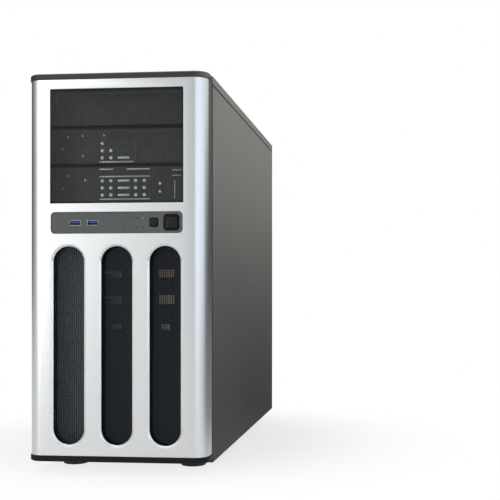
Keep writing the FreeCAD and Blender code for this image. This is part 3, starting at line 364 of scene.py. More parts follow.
def sheet(name, outer, holes, y0, y1):
    """Flat upright sheet with openings."""
    curve = bpy.data.curves.new(name, "CURVE")
    curve.dimensions = "2D"
    curve.fill_mode = "BOTH"
    curve.extrude = (y1 - y0) / 2 * MM
    for loop in [outer] + holes:
        spline = curve.splines.new("POLY")
        spline.points.add(len(loop) - 1)
        for point, (x, z) in zip(spline.points, loop):
            point.co = (x * MM, z * MM, 0, 1)
        spline.use_cyclic_u = True
    temp = bpy.data.objects.new(name, curve)
    bpy.context.scene.collection.objects.link(temp)
    mesh = bpy.data.meshes.new_from_object(temp)
    stand = Matrix.Rotation(math.radians(90), 4, "X")
    mesh.transform(Matrix.Translation((0, (y0 + y1) / 2 * MM, 0)) @ stand)
    mesh.materials.clear()
    bpy.data.objects.remove(temp)
    bpy.data.curves.remove(curve)
    return mesh


def rectangle(x0, x1, z0, z1):
    return [(x0, z0), (x1, z0), (x1, z1), (x0, z1)]


def add_perforation(verts, faces, x0, x1, z0, z1, y0, y1, pitch, hole):
    """Staggered six-sided holes in an upright sheet: a ring of quads on both faces and the hole's wall."""
    column = pitch * math.sqrt(3) / 2
    cell = pitch / math.sqrt(3)
    columns = int((x1 - x0) / column)
    rows = int((z1 - z0) / pitch)
    cx = (x0 + x1) / 2 - (columns - 1) * column / 2
    cz = (z0 + z1) / 2 - (rows - 1) * pitch / 2
    turns = [(math.cos(math.radians(60 * i)), math.sin(math.radians(60 * i))) for i in range(6)]
    for i in range(columns):
        for j in range(rows):
            x = cx + i * column
            z = cz + j * pitch + (pitch / 4 if i % 2 else -pitch / 4)
            n = len(verts)
            for y in (y0, y1):
                verts += [(x + cell * c, y, z + cell * s) for c, s in turns]
                verts += [(x + hole * c, y, z + hole * s) for c, s in turns]
            for k in range(6):
                m = (k + 1) % 6
                faces.append((n + k, n + m, n + 6 + m, n + 6 + k))
                faces.append((n + 6 + k, n + 6 + m, n + 18 + m, n + 18 + k))
                faces.append((n + 12 + m, n + 12 + k, n + 18 + k, n + 18 + m))


def box_mm(node):
    low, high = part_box(node)
    return [v / MM for v in low], [v / MM for v in high]


# Shells and mouldings with softened edges
refined("front_bezel", 0.45, SILVER, "chassis")
refined("bezel_top_cap", 0.5, CAP, "chassis")
refined("bezel_bottom_cap", 0.5, SOLE, "chassis")
refined("control_strip", 0.3, STRIP, "chassis")
refined("base_bar", 0.6, CAP, "chassis")
refined("top_cover", 0.45, PANEL, "chassis")
refined("left_side_panel", 0.4, PANEL, "left_panel")
refined("right_side_panel", 0.4, PANEL, "right_panel")
refined("usb_shells", 0.12, STEEL, "chassis")
refined("usb_tongues", 0.15, TONGUE, "chassis")
SLOTS = 7
for k in range(1, SLOTS + 1):
    refined("slot_latch_%d" % k, 0.35, BLUE, "latch_%d" % k)


# Bay covers: perforated sheet with a folded rim, in place of the plain trays.
MESH_PITCH = 2.2
MESH_HOLE = 1.13
MESH_THICK = 0.5
MESH_INSET_X = 0.8
MESH_INSET_Z = 0.6
RIM_GAUGE = 0.8
RIM_SETBACK = 0.2
for name in ("bay_cover_top", "bay_cover_middle", "bay_cover_bottom"):
    (x0, y0, z0), (x1, y1, z1) = box_mm(name)
    verts, faces = [], []
    add_perforation(verts, faces, x0 + MESH_INSET_X, x1 - MESH_INSET_X, z0 + MESH_INSET_Z, z1 - MESH_INSET_Z,
                    y0, y0 + MESH_THICK, MESH_PITCH, MESH_HOLE)
    piece = build(name + "_mesh", verts, faces, MESH, "chassis", smooth=False)
    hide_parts(name)
    verts, faces = [], []
    fold = y0 + RIM_SETBACK
    add_box(verts, faces, x0, x1, fold, y1, z0, z0 + RIM_GAUGE)
    add_box(verts, faces, x0, x1, fold, y1, z1 - RIM_GAUGE, z1)
    add_box(verts, faces, x0, x0 + RIM_GAUGE, fold, y1, z0, z1)
    add_box(verts, faces, x1 - RIM_GAUGE, x1, fold, y1, z0, z1)
    build(name + "_rim", verts, faces, COLLAR, "chassis", smooth=False)


# Intake grille: fine upright perforation behind each tall opening, smooth collars and the carrier sheet.
INTAKE_XS = (-55.5, 0.0, 55.5)
INTAKE_Z0 = 33.2
INTAKE_Z1 = 257.37
INTAKE_HALF = 18.0
GRID_X = 2.6
GRID_Z = 2.2
GRID_SIDE_COLUMNS = 7
GRID_ROWS = 104
GRID_BELOW = 1.5
GRID_REACH = 1.6
SHEET_GAUGE = 0.8
HOLE_X = 0.82
HOLE_Z = 0.9
CARRIER_CLEAR = 0.6
(gx0, gy0, gz0), (gx1, gy1, gz1) = box_mm("intake_grille")
sheet_y = gy1 - SHEET_GAUGE


def in_intake(x, z, cx, reach):
    z_near = min(max(z, INTAKE_Z0 + INTAKE_HALF), INTAKE_Z1 - INTAKE_HALF)
    return math.hypot(x - cx, z - z_near) < reach


def intake_outline(cx, grow):
    """A tall opening's outline, widened all round."""
    return upright(cx, INTAKE_Z0 - grow, INTAKE_Z1 + grow, 2 * (INTAKE_HALF + grow))


verts, faces, collar_verts, collar_faces = [], [], [], []
for cx in INTAKE_XS:
    for i in range(-GRID_SIDE_COLUMNS, GRID_SIDE_COLUMNS + 1):
        for j in range(GRID_ROWS):
            x = cx + i * GRID_X
            z = INTAKE_Z0 - GRID_BELOW + j * GRID_Z
            if not in_intake(x, z, cx, INTAKE_HALF + GRID_REACH):
                continue
            n = len(verts)
            for y, wide, high in ((sheet_y, GRID_X / 2, GRID_Z / 2), (sheet_y, HOLE_X, HOLE_Z),
                                  (gy1, HOLE_X, HOLE_Z)):
                verts += at_y(rectangle(x - wide, x + wide, z - high, z + high), y)
            for k in range(4):
                m = (k + 1) % 4
                faces.append((n + k, n + m, n + 4 + m, n + 4 + k))
                faces.append((n + 4 + k, n + 4 + m, n + 8 + m, n + 8 + k))
    collar = ((1.8, sheet_y), (1.8, gy0 + 0.4), (1.4, gy0), (0.4, gy0), (0.0, gy0 + 0.4), (0.0, sheet_y))
    add_loft(collar_verts, collar_faces, [at_y(intake_outline(cx, grow), y) for grow, y in collar])
piece = build("intake_grille_mesh", verts, faces, INTAKE, "chassis", smooth=False)
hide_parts("intake_grille")
carrier = sheet("carrier", rectangle(gx0, gx1, gz0, gz1),
                [intake_outline(cx, CARRIER_CLEAR) for cx in INTAKE_XS], sheet_y + 0.1, gy1)
collars = mesh_from("collars", collar_verts, collar_faces)
put("intake_collars", joined("intake_collars", [collars, carrier]), COLLAR, "chassis")


# Rolled rims round the tall openings, from the bezel's front face inwards, painted near white as a highlight.
FACE_Y = -264.2
RIM_LIFT = 0.06
RIM_WIDTH = 2.2
RIM_DEPTH = 1.7
verts, faces = [], []
for cx in INTAKE_XS:
    rings = []
    for grow, depth in ((RIM_WIDTH + RIM_LIFT, -RIM_LIFT), (-RIM_LIFT, RIM_DEPTH - RIM_LIFT),
                        (-RIM_LIFT, RIM_DEPTH + 0.6), (0.4, RIM_DEPTH + 0.6), (RIM_WIDTH + RIM_LIFT, 0.3),
                        (RIM_WIDTH + RIM_LIFT, -RIM_LIFT)):
        rings.append(at_y(intake_outline(cx, grow), FACE_Y + depth))
    add_loft(verts, faces, rings)
build("intake_rims", verts, faces, RIM_HIGHLIGHT, "chassis")


# Shields on the front wall behind the bay covers: plates, the upper one perforated, with domes and ridges. The
# plates are zinc painted near black as shade; lit pressings are painted near white as glints, the rest as
# shaded zinc.
SHIELD_Y0 = -236.2
SHIELD_Y1 = -235.1
SHIELD_X0 = -92.0
SHIELD_X1 = 84.0
SHIELD_LOW = {"lower": 296.0, "middle": 350.2}
SHIELD_TOP = 350.1
UPPER_Z0 = 393.3
UPPER_Z1 = 446.0
UPPER_HOLE = 0.74
BAY_PITCH = 43.0
RIDGE_HALF = 0.9
RIDGE_HEIGHT = 0.7
DOT_XS = (-25.0, -14.9, 14.4, 24.5)
DOT_ZS = (333.9, 325.6, 317.4)
DOT_RADIUS = 2.1
BAR_LENGTH = 14.3
BAR_HEIGHT = 2.8
SIDE_DOT_X = 42.8
SIDE_DOT_ZS = (330.2, 320.9)
SIDE_DOT_RADIUS = 1.9
DOME_PROFILE = ((1.0, 0.0), (0.96, -0.5), (0.8, -0.9), (0.4, -1.1))
STUD_PROFILE = ((1.3, 0.0), (1.2, -0.4), (0.7, -0.8))
RIDGES = ((-28.6, -11.9, 347.2), (3.6, 31.0, 347.2), (-28.6, 31.0, 338.8), (-28.6, 12.0, 312.6),
          (12.5, 31.0, 312.6))
GLINT_RIDGE = 3
SIDE_RIDGES = ((59.4, 60.6, 312.7, 333.5), (57.0, 68.8, 344.6, 346.2), (57.0, 67.6, 338.7, 339.9))
STUDS = ((-72.0, 370.9), (-72.0, 325.7), (-65.6, 384.7), (-65.3, 340.2), (-48.4, 362.8), (-45.4, 334.7),
         (-48.7, 386.0), (-23.2, 386.5))
# Domes painted as bright glints; the middle plate's others painted as shaded zinc. None stands for all.
GLINT_MARKS = {"lower": None, "middle": (0, 5, 6, 10, 11, 14)}


def add_dome(verts, faces, outline, y):
    """Pressed button or bar that stands off the plate."""
    rings = [shrunk(outline, scale, y + lift) for scale, lift in DOME_PROFILE]
    add_loft(verts, faces, rings, cap_last=True)


def add_ridge(verts, faces, x0, x1, z0, z1, y, height):
    """Pressed ridge with sloping flanks."""
    inset = min(x1 - x0, z1 - z0) * 0.3
    rings = []
    for shrink, lift in ((0.0, 0.0), (inset * 0.6, -height * 0.8), (inset, -height)):
        rings.append([(x0 + shrink, y + lift, z0 + shrink), (x1 - shrink, y + lift, z0 + shrink),
                      (x1 - shrink, y + lift, z1 - shrink), (x0 + shrink, y + lift, z1 - shrink)])
    add_loft(verts, faces, rings, cap_last=True)


glint_verts, glint_faces = [], []
dim_verts, dim_faces = [], []
for bay, z_shift in (("lower", 0.0), ("middle", BAY_PITCH)):
    marks = []
    for z in DOT_ZS:
        for x in DOT_XS:
            marks.append([(px, pz) for px, _, pz in circle(x, z + z_shift, DOT_RADIUS, 0, 16)])
        marks.append(stadium(0.0, z + z_shift, BAR_LENGTH, BAR_HEIGHT))
    if bay == "lower":
        for z in SIDE_DOT_ZS:
            marks.append([(px, pz) for px, _, pz in circle(SIDE_DOT_X, z, SIDE_DOT_RADIUS, 0, 16)])
    outline = rectangle(SHIELD_X0, SHIELD_X1, SHIELD_LOW[bay], SHIELD_TOP + z_shift)
    put("shield_" + bay, sheet("shield_" + bay, outline, [], SHIELD_Y0, SHIELD_Y1), SHIELD, "chassis")
    lit = GLINT_MARKS[bay]
    for k, mark in enumerate(marks):
        target = (glint_verts, glint_faces) if lit is None or k in lit else (dim_verts, dim_faces)
        add_dome(*target, mark, SHIELD_Y0)
    for k, (x0, x1, z) in enumerate(RIDGES):
        target = (glint_verts, glint_faces) if lit is None or k == GLINT_RIDGE else (dim_verts, dim_faces)
        add_ridge(*target, x0, x1, z + z_shift - RIDGE_HALF, z + z_shift + RIDGE_HALF, SHIELD_Y0, RIDGE_HEIGHT)
for x0, x1, z0, z1 in SIDE_RIDGES:
    add_ridge(glint_verts, glint_faces, x0, x1, z0, z1, SHIELD_Y0, RIDGE_HEIGHT)
for x, z in STUDS:
    stud = [circle(x, z, r, SHIELD_Y0 + lift, 12) for r, lift in STUD_PROFILE]
    add_loft(glint_verts, glint_faces, stud, cap_last=True)
verts, faces = [], []
add_perforation(verts, faces, SHIELD_X0, SHIELD_X1, UPPER_Z0, UPPER_Z1, SHIELD_Y0, SHIELD_Y1,
                MESH_PITCH, UPPER_HOLE)
build("shield_upper", verts, faces, SHIELD, "chassis", smooth=False)
build("shield_pressings", glint_verts, glint_faces, SHIELD_GLINT, "chassis")
build("shield_pressings_shaded", dim_verts, dim_faces, SHIELD_SHADED, "chassis")


# Plates on the front wall behind the intakes: painted pale on the left as the light seen through that intake,
# painted near black behind the other two as their shade, and tabs seen through those two, painted as lit zinc
# on the right and shaded zinc in the middle.
AIR_Y0 = SHIELD_Y0
AIR_Y1 = -235.0
AIR_Z0 = 24.0
AIR_Z1 = 264.0
TAB_HEIGHT = 0.8
TABS_RIGHT = ((42.0, 60.3, 222.4, 231.0), (41.6, 60.3, 191.8, 202.0), (44.0, 55.2, 162.2, 168.8))
TABS_MIDDLE = ((-15.1, -1.7, 222.4, 230.0), (-15.1, -1.7, 191.8, 201.0), (-13.5, -2.2, 162.2, 168.8),
               (-22.6, -15.1, 227.2, 229.8), (-22.6, -15.1, 198.0, 200.6))
for name, mat, x0, x1 in (("air_plate", PAINTED_SHADE, -25.0, 80.0), ("air_plate_left", PLATE_PAINTED_LIGHT, -92.0, -25.4)):
    verts, faces = [], []
    add_box(verts, faces, x0, x1, AIR_Y0, AIR_Y1, AIR_Z0, AIR_Z1)
    soften(build(name, verts, faces, mat, "chassis"), 0.3)
for name, mat, tabs in (("air_tabs_right", TAB, TABS_RIGHT), ("air_tabs_middle", TAB_SHADED, TABS_MIDDLE)):
    verts, faces = [], []
    for x0, x1, z0, z1 in tabs:
        add_ridge(verts, faces, x0, x1, z0, z1, AIR_Y0, TAB_HEIGHT)
    build(name, verts, faces, mat, "chassis")


# Push buttons: glossy frame with a groove and a crowned face.
STRIP_Z = 283.42


def push_button(node, body, x, half, face, corner):
    (_, y0, _), (_, y1, _) = box_mm(node)
    verts, faces = [], []
    rings = []
    for h, y in ((half, y0 + 4.5), (half, y0 + 0.9), (half - 0.12, y0 + 0.45), (half - 0.5, y0 + 0.1),
                 (half - 1.0, y0), (face + 0.5, y0 + 0.05), (face + 0.25, y0 + 0.3), (face + 0.2, y0 + 0.9)):
        rings.append(rounded_square(x, STRIP_Z, h, corner * h / half, y))
    add_loft(verts, faces, rings, cap_last=True)
    lip = half + 1.5
    add_box(verts, faces, x - lip, x + lip, y0 + 4.5, y0 + 5.7, STRIP_Z - lip, STRIP_Z + lip)
    add_box(verts, faces, x - 2, x + 2, y0 + 5.7, y1, STRIP_Z - 2, STRIP_Z + 2)
    rim = build(node + "_frame", verts, faces, GLOSS, body)
    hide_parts(node)
    verts, faces = [], []
    rings = []
    for h, y in ((face, y0 + 0.9), (face, y0 + 0.5), (face - 0.15, y0 + 0.22), (face - 0.5, y0 + 0.1),
                 (face * 0.6, y0 + 0.03), (face * 0.2, y0)):
        rings.append(rounded_square(x, STRIP_Z, h, corner * h / half, y))
    add_loft(verts, faces, rings, cap_last=True)
    build(node + "_face", verts, faces, KEY, body)


push_button("power_button", "power_key", 62.8, 9.0, 6.4, 2.8)
push_button("locator_button", "locator_key", 42.8, 4.9, 3.9, 1.4)


# Port liners: inner walls and back behind each port's mouth, painted dark as the shade inside the port.
PORTS = ((-54.1, -40.9), (-33.9, -20.7))
SHELL_GAUGE = 0.4
LINER = 0.2
(_, uy0, uz0), (_, uy1, uz1) = box_mm("usb_shells")
mouth, back = uy0 + 0.15, uy1 - 0.2
b0, b1 = uz0 + SHELL_GAUGE, uz1 - SHELL_GAUGE
verts, faces = [], []
for x0, x1 in PORTS:
    a0, a1 = x0 + SHELL_GAUGE, x1 - SHELL_GAUGE
    add_box(verts, faces, a0, a1, mouth, back, b0, b0 + LINER)
    add_box(verts, faces, a0, a1, mouth, back, b1 - LINER, b1)
    add_box(verts, faces, a0, a0 + LINER, mouth, back, b0, b1)
    add_box(verts, faces, a1 - LINER, a1, mouth, back, b0, b1)
    add_box(verts, faces, a0, a1, uy1 - 0.6, back, b0, b1)
build("port_liners", verts, faces, PAINTED_SHADE, "chassis", smooth=False)


# Indicator lamps: domed lenses, the last of the top row painted pale as the glow of a lit lamp.
LAMP_X = 9.8
LAMP_PITCH = 6.8
LAMP_ROW = 5.05
(_, ly0, _), (_, ly1, _) = box_mm("indicator_lamps")
lens = ((1.1, ly1), (1.05, ly0 + 0.12), (0.75, ly0 + 0.03), (0.3, ly0))
lens_verts, lens_faces, lit_verts, lit_faces = [], [], [], []
for row, z in enumerate((STRIP_Z - LAMP_ROW, STRIP_Z + LAMP_ROW)):
    for column in range(4):
        lit = row == 1 and column == 3
        v, f = (lit_verts, lit_faces) if lit else (lens_verts, lens_faces)
        x = LAMP_X + LAMP_PITCH * column
        add_loft(v, f, [circle(x, z, r, y, 20) for r, y in lens], cap_last=True)
piece = build("lamp_lenses", lens_verts, lens_faces, LENS, "chassis")
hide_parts("indicator_lamps")
build("lamp_glow_painted", lit_verts, lit_faces, LIT, "chassis")


# Feet: turned rubber with a waist and a rounded sole edge.
FOOT_X = 72.0
FOOT_YS = (-192.0, 228.0)
FOOT_SIDES = 48
FOOT_PROFILE = ((13.2, 0.0), (14.1, 0.25), (14.6, 0.9), (15.0, 4.2), (14.5, 4.7), (14.5, 5.7), (15.2, 6.2),
                (15.9, 10.0), (16.0, 10.7))
turns = [2 * math.pi * i / FOOT_SIDES for i in range(FOOT_SIDES)]
verts, faces = [], []
for fx in (-FOOT_X, FOOT_X):
    for fy in FOOT_YS:
        rings = []
        for r, z in FOOT_PROFILE:
            rings.append([(fx + r * math.cos(a), fy + r * math.sin(a), z) for a in turns])
        add_loft(verts, faces, rings, cap_first=True, cap_last=True)
piece = build("feet_turned", verts, faces, RUBBER, "chassis")
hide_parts("feet")


# Thumbscrews: knurled low heads with a cross painted dark as the shade of its recess. The profile gives radius,
# depth and whether it is knurled.
SCREW_X = 96.6
SCREW_ZS = (34.7, 416.37)
SCREW_SIDES = 56
KNURL = 0.18
SCREW_PROFILE = ((1.75, 254.0, 0), (1.75, 260.0, 0), (4.2, 260.0, 0), (4.4, 260.4, 1), (4.4, 262.9, 1),
                 (4.1, 263.5, 0), (3.2, 264.3, 0), (1.5, 264.75, 0))
CROSS_HALF = 2.1
CROSS_BAR = 0.4
CROSS_Y0 = 264.2
CROSS_Y1 = 264.8
for side, body in ((-1, "left_panel"), (1, "right_panel")):
    name = "left_thumbscrews" if side < 0 else "right_thumbscrews"
    verts, faces, cross_verts, cross_faces = [], [], [], []
    for z in SCREW_ZS:
        x = side * SCREW_X
        rings = []
        for r, y, knurl in SCREW_PROFILE:
            turn = 2 * math.pi / SCREW_SIDES
            rings.append([(x + (r - KNURL * knurl * (i % 2)) * math.cos(i * turn), y,
                           z + (r - KNURL * knurl * (i % 2)) * math.sin(i * turn)) for i in range(SCREW_SIDES)])
        add_loft(verts, faces, rings, cap_first=True, cap_last=True)
        for wide, high, y1 in ((CROSS_HALF, CROSS_BAR, CROSS_Y1), (CROSS_BAR, CROSS_HALF, CROSS_Y1 + 0.01)):
            add_box(cross_verts, cross_faces, x - wide, x + wide, CROSS_Y0, y1, z - high, z + high)
    piece = build(name + "_knurled", verts, faces, SCREW, body)
    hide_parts(name)
    build(name + "_cross", cross_verts, cross_faces, PAINTED_SHADE, body, smooth=False)


# Slot covers: vented strips with round-ended vents and the bent tab.
SLOT_Z = 41.3
SLOT_PITCH = 20.32
COVER_X0 = -32.6
COVER_X1 = 76.0
COVER_HALF = 9.36
COVER_GAUGE = 0.8
COVER_Y1 = 246.0
TAB_Y1 = 256.4
VENT_X = 59.3
VENT_PITCH = 19.7
for k in range(SLOTS):
    z = SLOT_Z + SLOT_PITCH * k
    vents = [stadium(VENT_X - VENT_PITCH * i, z, 14.2, 4.6) for i in range(5)]
    outline = rectangle(COVER_X0, COVER_X1, z - COVER_HALF, z + COVER_HALF)
    strip = sheet("strip", outline, vents, COVER_Y1 - COVER_GAUGE, COVER_Y1)
    verts, faces = [], []
    add_box(verts, faces, COVER_X0, COVER_X0 + COVER_GAUGE, COVER_Y1, TAB_Y1, z - COVER_HALF, z + COVER_HALF)
    name = "slot_cover_%d_vented" % (k + 1)
    piece = put(name, joined(name, [strip, mesh_from("tab", verts, faces)]), ZINC, "chassis")
    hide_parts("slot_cover_%d" % (k + 1))


# Rear wall dress: rivets, ridges between the slots, screw bosses, slits and pressed marks.
# Faces that look to the rear: the wall, the flanges round it and the bars between the slots.
WALL_Y = 259.0
FLANGE_Y = 260.0
BAR_Y = 247.0
RIVET_PROFILE = ((2.3, 0.0), (2.2, 0.25), (1.6, 0.6), (0.85, 0.72), (0.8, 0.3))
PIN_PROFILE = ((0.86, 0.0), (0.84, 0.45), (0.5, 0.5))
rivets = [(x, z, WALL_Y) for x, z in (
    (-89.7, 417.5), (70.7, 340.0), (38.1, 340.0), (24.6, 329.6), (86.7, 321.6), (86.7, 171.6), (9.2, 188.2),
    (-24.7, 188.5), (-37.7, 180.6), (-42.9, 135.7), (-42.9, 74.9), (-37.0, 30.8), (-18.5, 24.0),
    (23.9, 24.2), (67.2, 24.0), (87.5, 31.1), (83.0, 16.6), (-81.2, 16.9), (-88.7, 33.7))]
rivets += [(39.7, 446.2, FLANGE_Y), (-40.7, 446.5, FLANGE_Y)]
# Each rivet's pin is a dark cap, painted shade for the hollow in its centre.
verts, faces, pin_verts, pin_faces = [], [], [], []
for x, z, y in rivets:
    add_loft(verts, faces, [circle(x, z, r, y + lift, 20) for r, lift in RIVET_PROFILE])
    pin = [circle(x, z, r, y + lift, 12) for r, lift in PIN_PROFILE]
    add_loft(pin_verts, pin_faces, pin, cap_last=True)
build("rivets", verts, faces, STEEL, "chassis")
build("rivet_pins", pin_verts, pin_faces, PAINTED_SHADE, "chassis")


def add_bead(verts, faces, path, y, width, height, steps=6):
    """Half-round bead along a path on a wall that faces +Y, tapered at both ends."""
    start = len(verts)
    last = len(path) - 1
    count = steps + 1
    for i, (x, z) in enumerate(path):
        (xa, za), (xb, zb) = path[max(i - 1, 0)], path[min(i + 1, last)]
        length = math.hypot(xb - xa, zb - za)
        nx, nz = -(zb - za) / length, (xb - xa) / length
        scale = 1.0 if 0 < i < last else 0.15
        for k in range(count):
            across = width / 2 * scale * math.cos(math.pi * k / steps)
            rise = height * scale * math.sin(math.pi * k / steps)
            verts.append((x + nx * across, y + rise, z + nz * across))
    for i in range(last):
        a = start + count * i
        b = a + count
        faces += [(a + k, b + k, b + k + 1, a + k + 1) for k in range(steps)]


def add_half_round(verts, faces, x0, x1, z, y, width, height):
    """Level half-round ridge."""
    path = [(x0, z), (x0 + width / 2, z), (x1 - width / 2, z), (x1, z)]
    add_bead(verts, faces, path, y, width, height, steps=8)


# Ridges on the bars between the slots, which leave room for the pockets, and a whole one above the last slot.
BAR_SPANS = ((60.7, 73.6), (-8.2, 47.8), (-26.8, -20.3))
TOP_SPANS = ((-26.8, 73.6),)
verts, faces = [], []
for k in range(1, SLOTS + 1):
    for x0, x1 in BAR_SPANS if k < SLOTS else TOP_SPANS:
        add_half_round(verts, faces, x0, x1, SLOT_Z + SLOT_PITCH * (k - 0.5), BAR_Y, 2.0, 0.9)
build("slot_ridges", verts, faces, ZINC, "chassis")

# Bosses of the fan screw holes for three fan sizes.
FAN_X = -35.9
FAN_Z = 260.42
FAN_SPACINGS = (105.0, 82.5, 71.5)
BOSS_PROFILE = ((3.7, 0.0), (3.3, 0.45), (2.3, 0.45), (1.9, 0.2), (1.9, -0.8))
verts, faces = [], []
for spacing in FAN_SPACINGS:
    for sx in (-1, 1):
        for sz in (-1, 1):
            x = FAN_X + sx * spacing / 2
            z = FAN_Z + sz * spacing / 2
            add_loft(verts, faces, [circle(x, z, r, WALL_Y + lift, 24) for r, lift in BOSS_PROFILE])
build("screw_bosses", verts, faces, ZINC, "chassis")

# Level creases above and below the fan vent.
verts, faces = [], []
add_half_round(verts, faces, -78.0, 19.0, 326.5, WALL_Y, 1.6, 0.35)
add_half_round(verts, faces, -89.3, -55.9, 196.0, WALL_Y, 1.2, 0.4)
add_half_round(verts, faces, -86.0, -59.2, 183.0, WALL_Y, 1.2, 0.4)
build("wall_creases", verts, faces, ZINC, "chassis")

# Beads round the inner end of each fan screw pad, and the step below the fan vent's last row.
PAD_RADIUS = 5.6
PAD_REACH = 15.0
PAD_TAPER = 0.9
STEP_HALF = 43.0
STEP_Z = 204.4
verts, faces = [], []
for sx in (-1, 1):
    for sz in (-1, 1):
        cx, cz = FAN_X + sx * FAN_SPACINGS[-1] / 2, FAN_Z + sz * FAN_SPACINGS[-1] / 2
        out = math.atan2(sz, sx)
        arc = [out + math.pi / 2 + math.pi * i / 18 for i in range(19)]
        path = [(cx + PAD_RADIUS * math.cos(a), cz + PAD_RADIUS * math.sin(a)) for a in arc]
        dx, dz = PAD_REACH * math.cos(out), PAD_REACH * math.sin(out)
        ends = [(path[k][0] + dx * part, path[k][1] + dz * part)
                for k, part in ((0, 1.0), (0, PAD_TAPER), (-1, PAD_TAPER), (-1, 1.0))]
        add_bead(verts, faces, ends[:2] + path + ends[2:], WALL_Y, 0.9, 0.4)
add_half_round(verts, faces, FAN_X - STEP_HALF, FAN_X + STEP_HALF, STEP_Z, WALL_Y, 1.0, 0.4)
build("fan_pad_beads", verts, faces, ZINC, "chassis")

# Small round holes beside the power supply, each painted as a dark mark for its shade. A mark is a flat patch a
# hair above its face.
PATCH_PROFILE = ((1.0, 0.0), (1.0, 0.05), (0.7, 0.06))
verts, faces = [], []
for x, z, r in ((-88.3, 434.1, 1.6), (-84.0, 401.7, 1.4), (-84.0, 381.6, 1.4)):
    add_loft(verts, faces, [circle(x, z, s * r, WALL_Y + lift, 16) for s, lift in PATCH_PROFILE], cap_last=True)
build("small_holes", verts, faces, PAINTED_SHADE, "chassis")


def add_patch(verts, faces, outline, y):
    """Flat mark a hair above an upright face that looks to the rear."""
    rings = [shrunk(outline, scale, y + lift) for scale, lift in PATCH_PROFILE]
    add_loft(verts, faces, rings, cap_last=True)


# Power supply screw slots, painted as dark patches for the shade in them: level ones in the corners, upright
# ones in the tab and beside the notch.
SUPPLY_X = (76.2, -61.8)
SUPPLY_Z = (434.0, 360.0)
verts, faces = [], []
for x in SUPPLY_X:
    for z in SUPPLY_Z:
        add_patch(verts, faces, stadium(x, z, 7.2, 4.8), WALL_Y)
for x, z, width, height in ((51.2, 433.6, 4.0, 5.4), (-38.2, 360.0, 4.0, 6.0)):
    add_patch(verts, faces, upright(x, z - height / 2, z + height / 2, width), WALL_Y)
build("supply_slots", verts, faces, PAINTED_SHADE, "chassis")

# Round-ended pockets in the bars between the slots, painted as dark patches for their shade.
POCKET_XS = (55.7, -14.25)
verts, faces = [], []
for k in range(SLOTS):
    for x in POCKET_XS:
        add_patch(verts, faces, stadium(x, SLOT_Z + SLOT_PITCH * (k - 0.5), 7.4, 4.0), BAR_Y)
build("bar_pockets", verts, faces, PAINTED_SHADE, "chassis")

# Slots and a ring in each side panel's rear flange: x, lower and upper end of the slots, centre of the ring.
RING_HALF = 4.8
RING_WIDTH = 5.0
RING_PROFILE = ((0.0, 0.0), (0.2, 0.2), (0.9, 0.2), (1.1, 0.0))
FLANGE_MARKS = {
    "right_panel": (((98.6, 342.7, 359.1), (98.6, 103.9, 120.4)), (97.7, 368.7)),
    "left_panel": (((-99.5, 329.0, 346.0), (-99.0, 91.0, 107.0)), (-98.0, 81.3)),
}
for body, (marks, (x, z)) in FLANGE_MARKS.items():
    verts, faces = [], []
    for slot_x, z0, z1 in marks:
        add_patch(verts, faces, upright(slot_x, z0, z1, 1.8), FLANGE_Y)
    rings = []
    for inset, lift in RING_PROFILE:
        outline = upright(x, z - RING_HALF + inset, z + RING_HALF - inset, RING_WIDTH - 2 * inset)
        rings.append(at_y(outline, FLANGE_Y + lift))
    add_loft(verts, faces, rings)
    build("flange_marks_%s" % body, verts, faces, SCREW, body)

# Bright slits in the top corners, each an upright and a level bar.
SLIT_BARS = ((91.2, 92.8, 441.0, 447.4), (92.0, 101.5, 446.4, 447.6))
SLIT_LIFT = 0.08
for side, name in ((-1, "corner_slit_left"), (1, "corner_slit_right")):
    verts, faces = [], []
    for near, far, z0, z1 in SLIT_BARS:
        x0, x1 = sorted((side * near, side * far))
        add_box(verts, faces, x0, x1, FLANGE_Y, FLANGE_Y + SLIT_LIFT, z0, z1)
    build(name, verts, faces, ZINC, "chassis", smooth=False)

# Shadow line between the top cover's lip and each side panel.
COVER_LIP = 9.5
SEAM_SINK = 0.02
SEAM_LIFT = 0.05
SEAM_BELOW = 1.5
SEAM_ABOVE = 0.3
edge = box_mm("top_cover")[1][2] - COVER_LIP
for side in ("left", "right"):
    low, high = box_mm(side + "_side_panel")
    if side == "left":
        x0, x1 = low[0] - SEAM_LIFT, low[0] + SEAM_SINK
    else:
        x0, x1 = high[0] - SEAM_SINK, high[0] + SEAM_LIFT
    verts, faces = [], []
    add_box(verts, faces, x0, x1, low[1], WALL_Y, edge - SEAM_BELOW, edge + SEAM_ABOVE)
    build("cover_seam_" + side, verts, faces, SHADOW, "chassis", smooth=False)


# Camera at the photograph's viewing angle.
FRONT = cad_box[0][1]
camera_data = bpy.data.cameras.new("camera")
camera_data.sensor_width = 36.0
camera_data.lens = 65.9
camera_data.shift_x = -0.1214
camera_data.shift_y = 0.085
camera_data.clip_start = 0.05
camera_data.clip_end = 30.0
camera = bpy.data.objects.new("camera", camera_data)
bpy.context.scene.collection.objects.link(camera)
camera.location = (0.3144, FRONT - 1.0, 0.205)
camera.rotation_euler = (math.radians(90), 0, 0.095)
bpy.context.scene.camera = camera


# Floor, world and lamps
def link_math(tree, kind, first, second):
    node = tree.nodes.new("ShaderNodeMath")
    node.operation = kind
    for socket, value in zip(node.inputs, (first, second)):
        if isinstance(value, (int, float)):
            socket.default_value = value
        else:
            tree.links.new(value, socket)
    return node.outputs["Value"]


def ray_kinds(tree):
    """Two switches: camera and see-through rays, which show the background as white, and mirror rays."""
    path = tree.nodes.new("ShaderNodeLightPath").outputs
    straight = link_math(tree, "MAXIMUM", path["Is Camera Ray"], path["Is Transmission Ray"])
    return straight, path["Is Glossy Ray"]


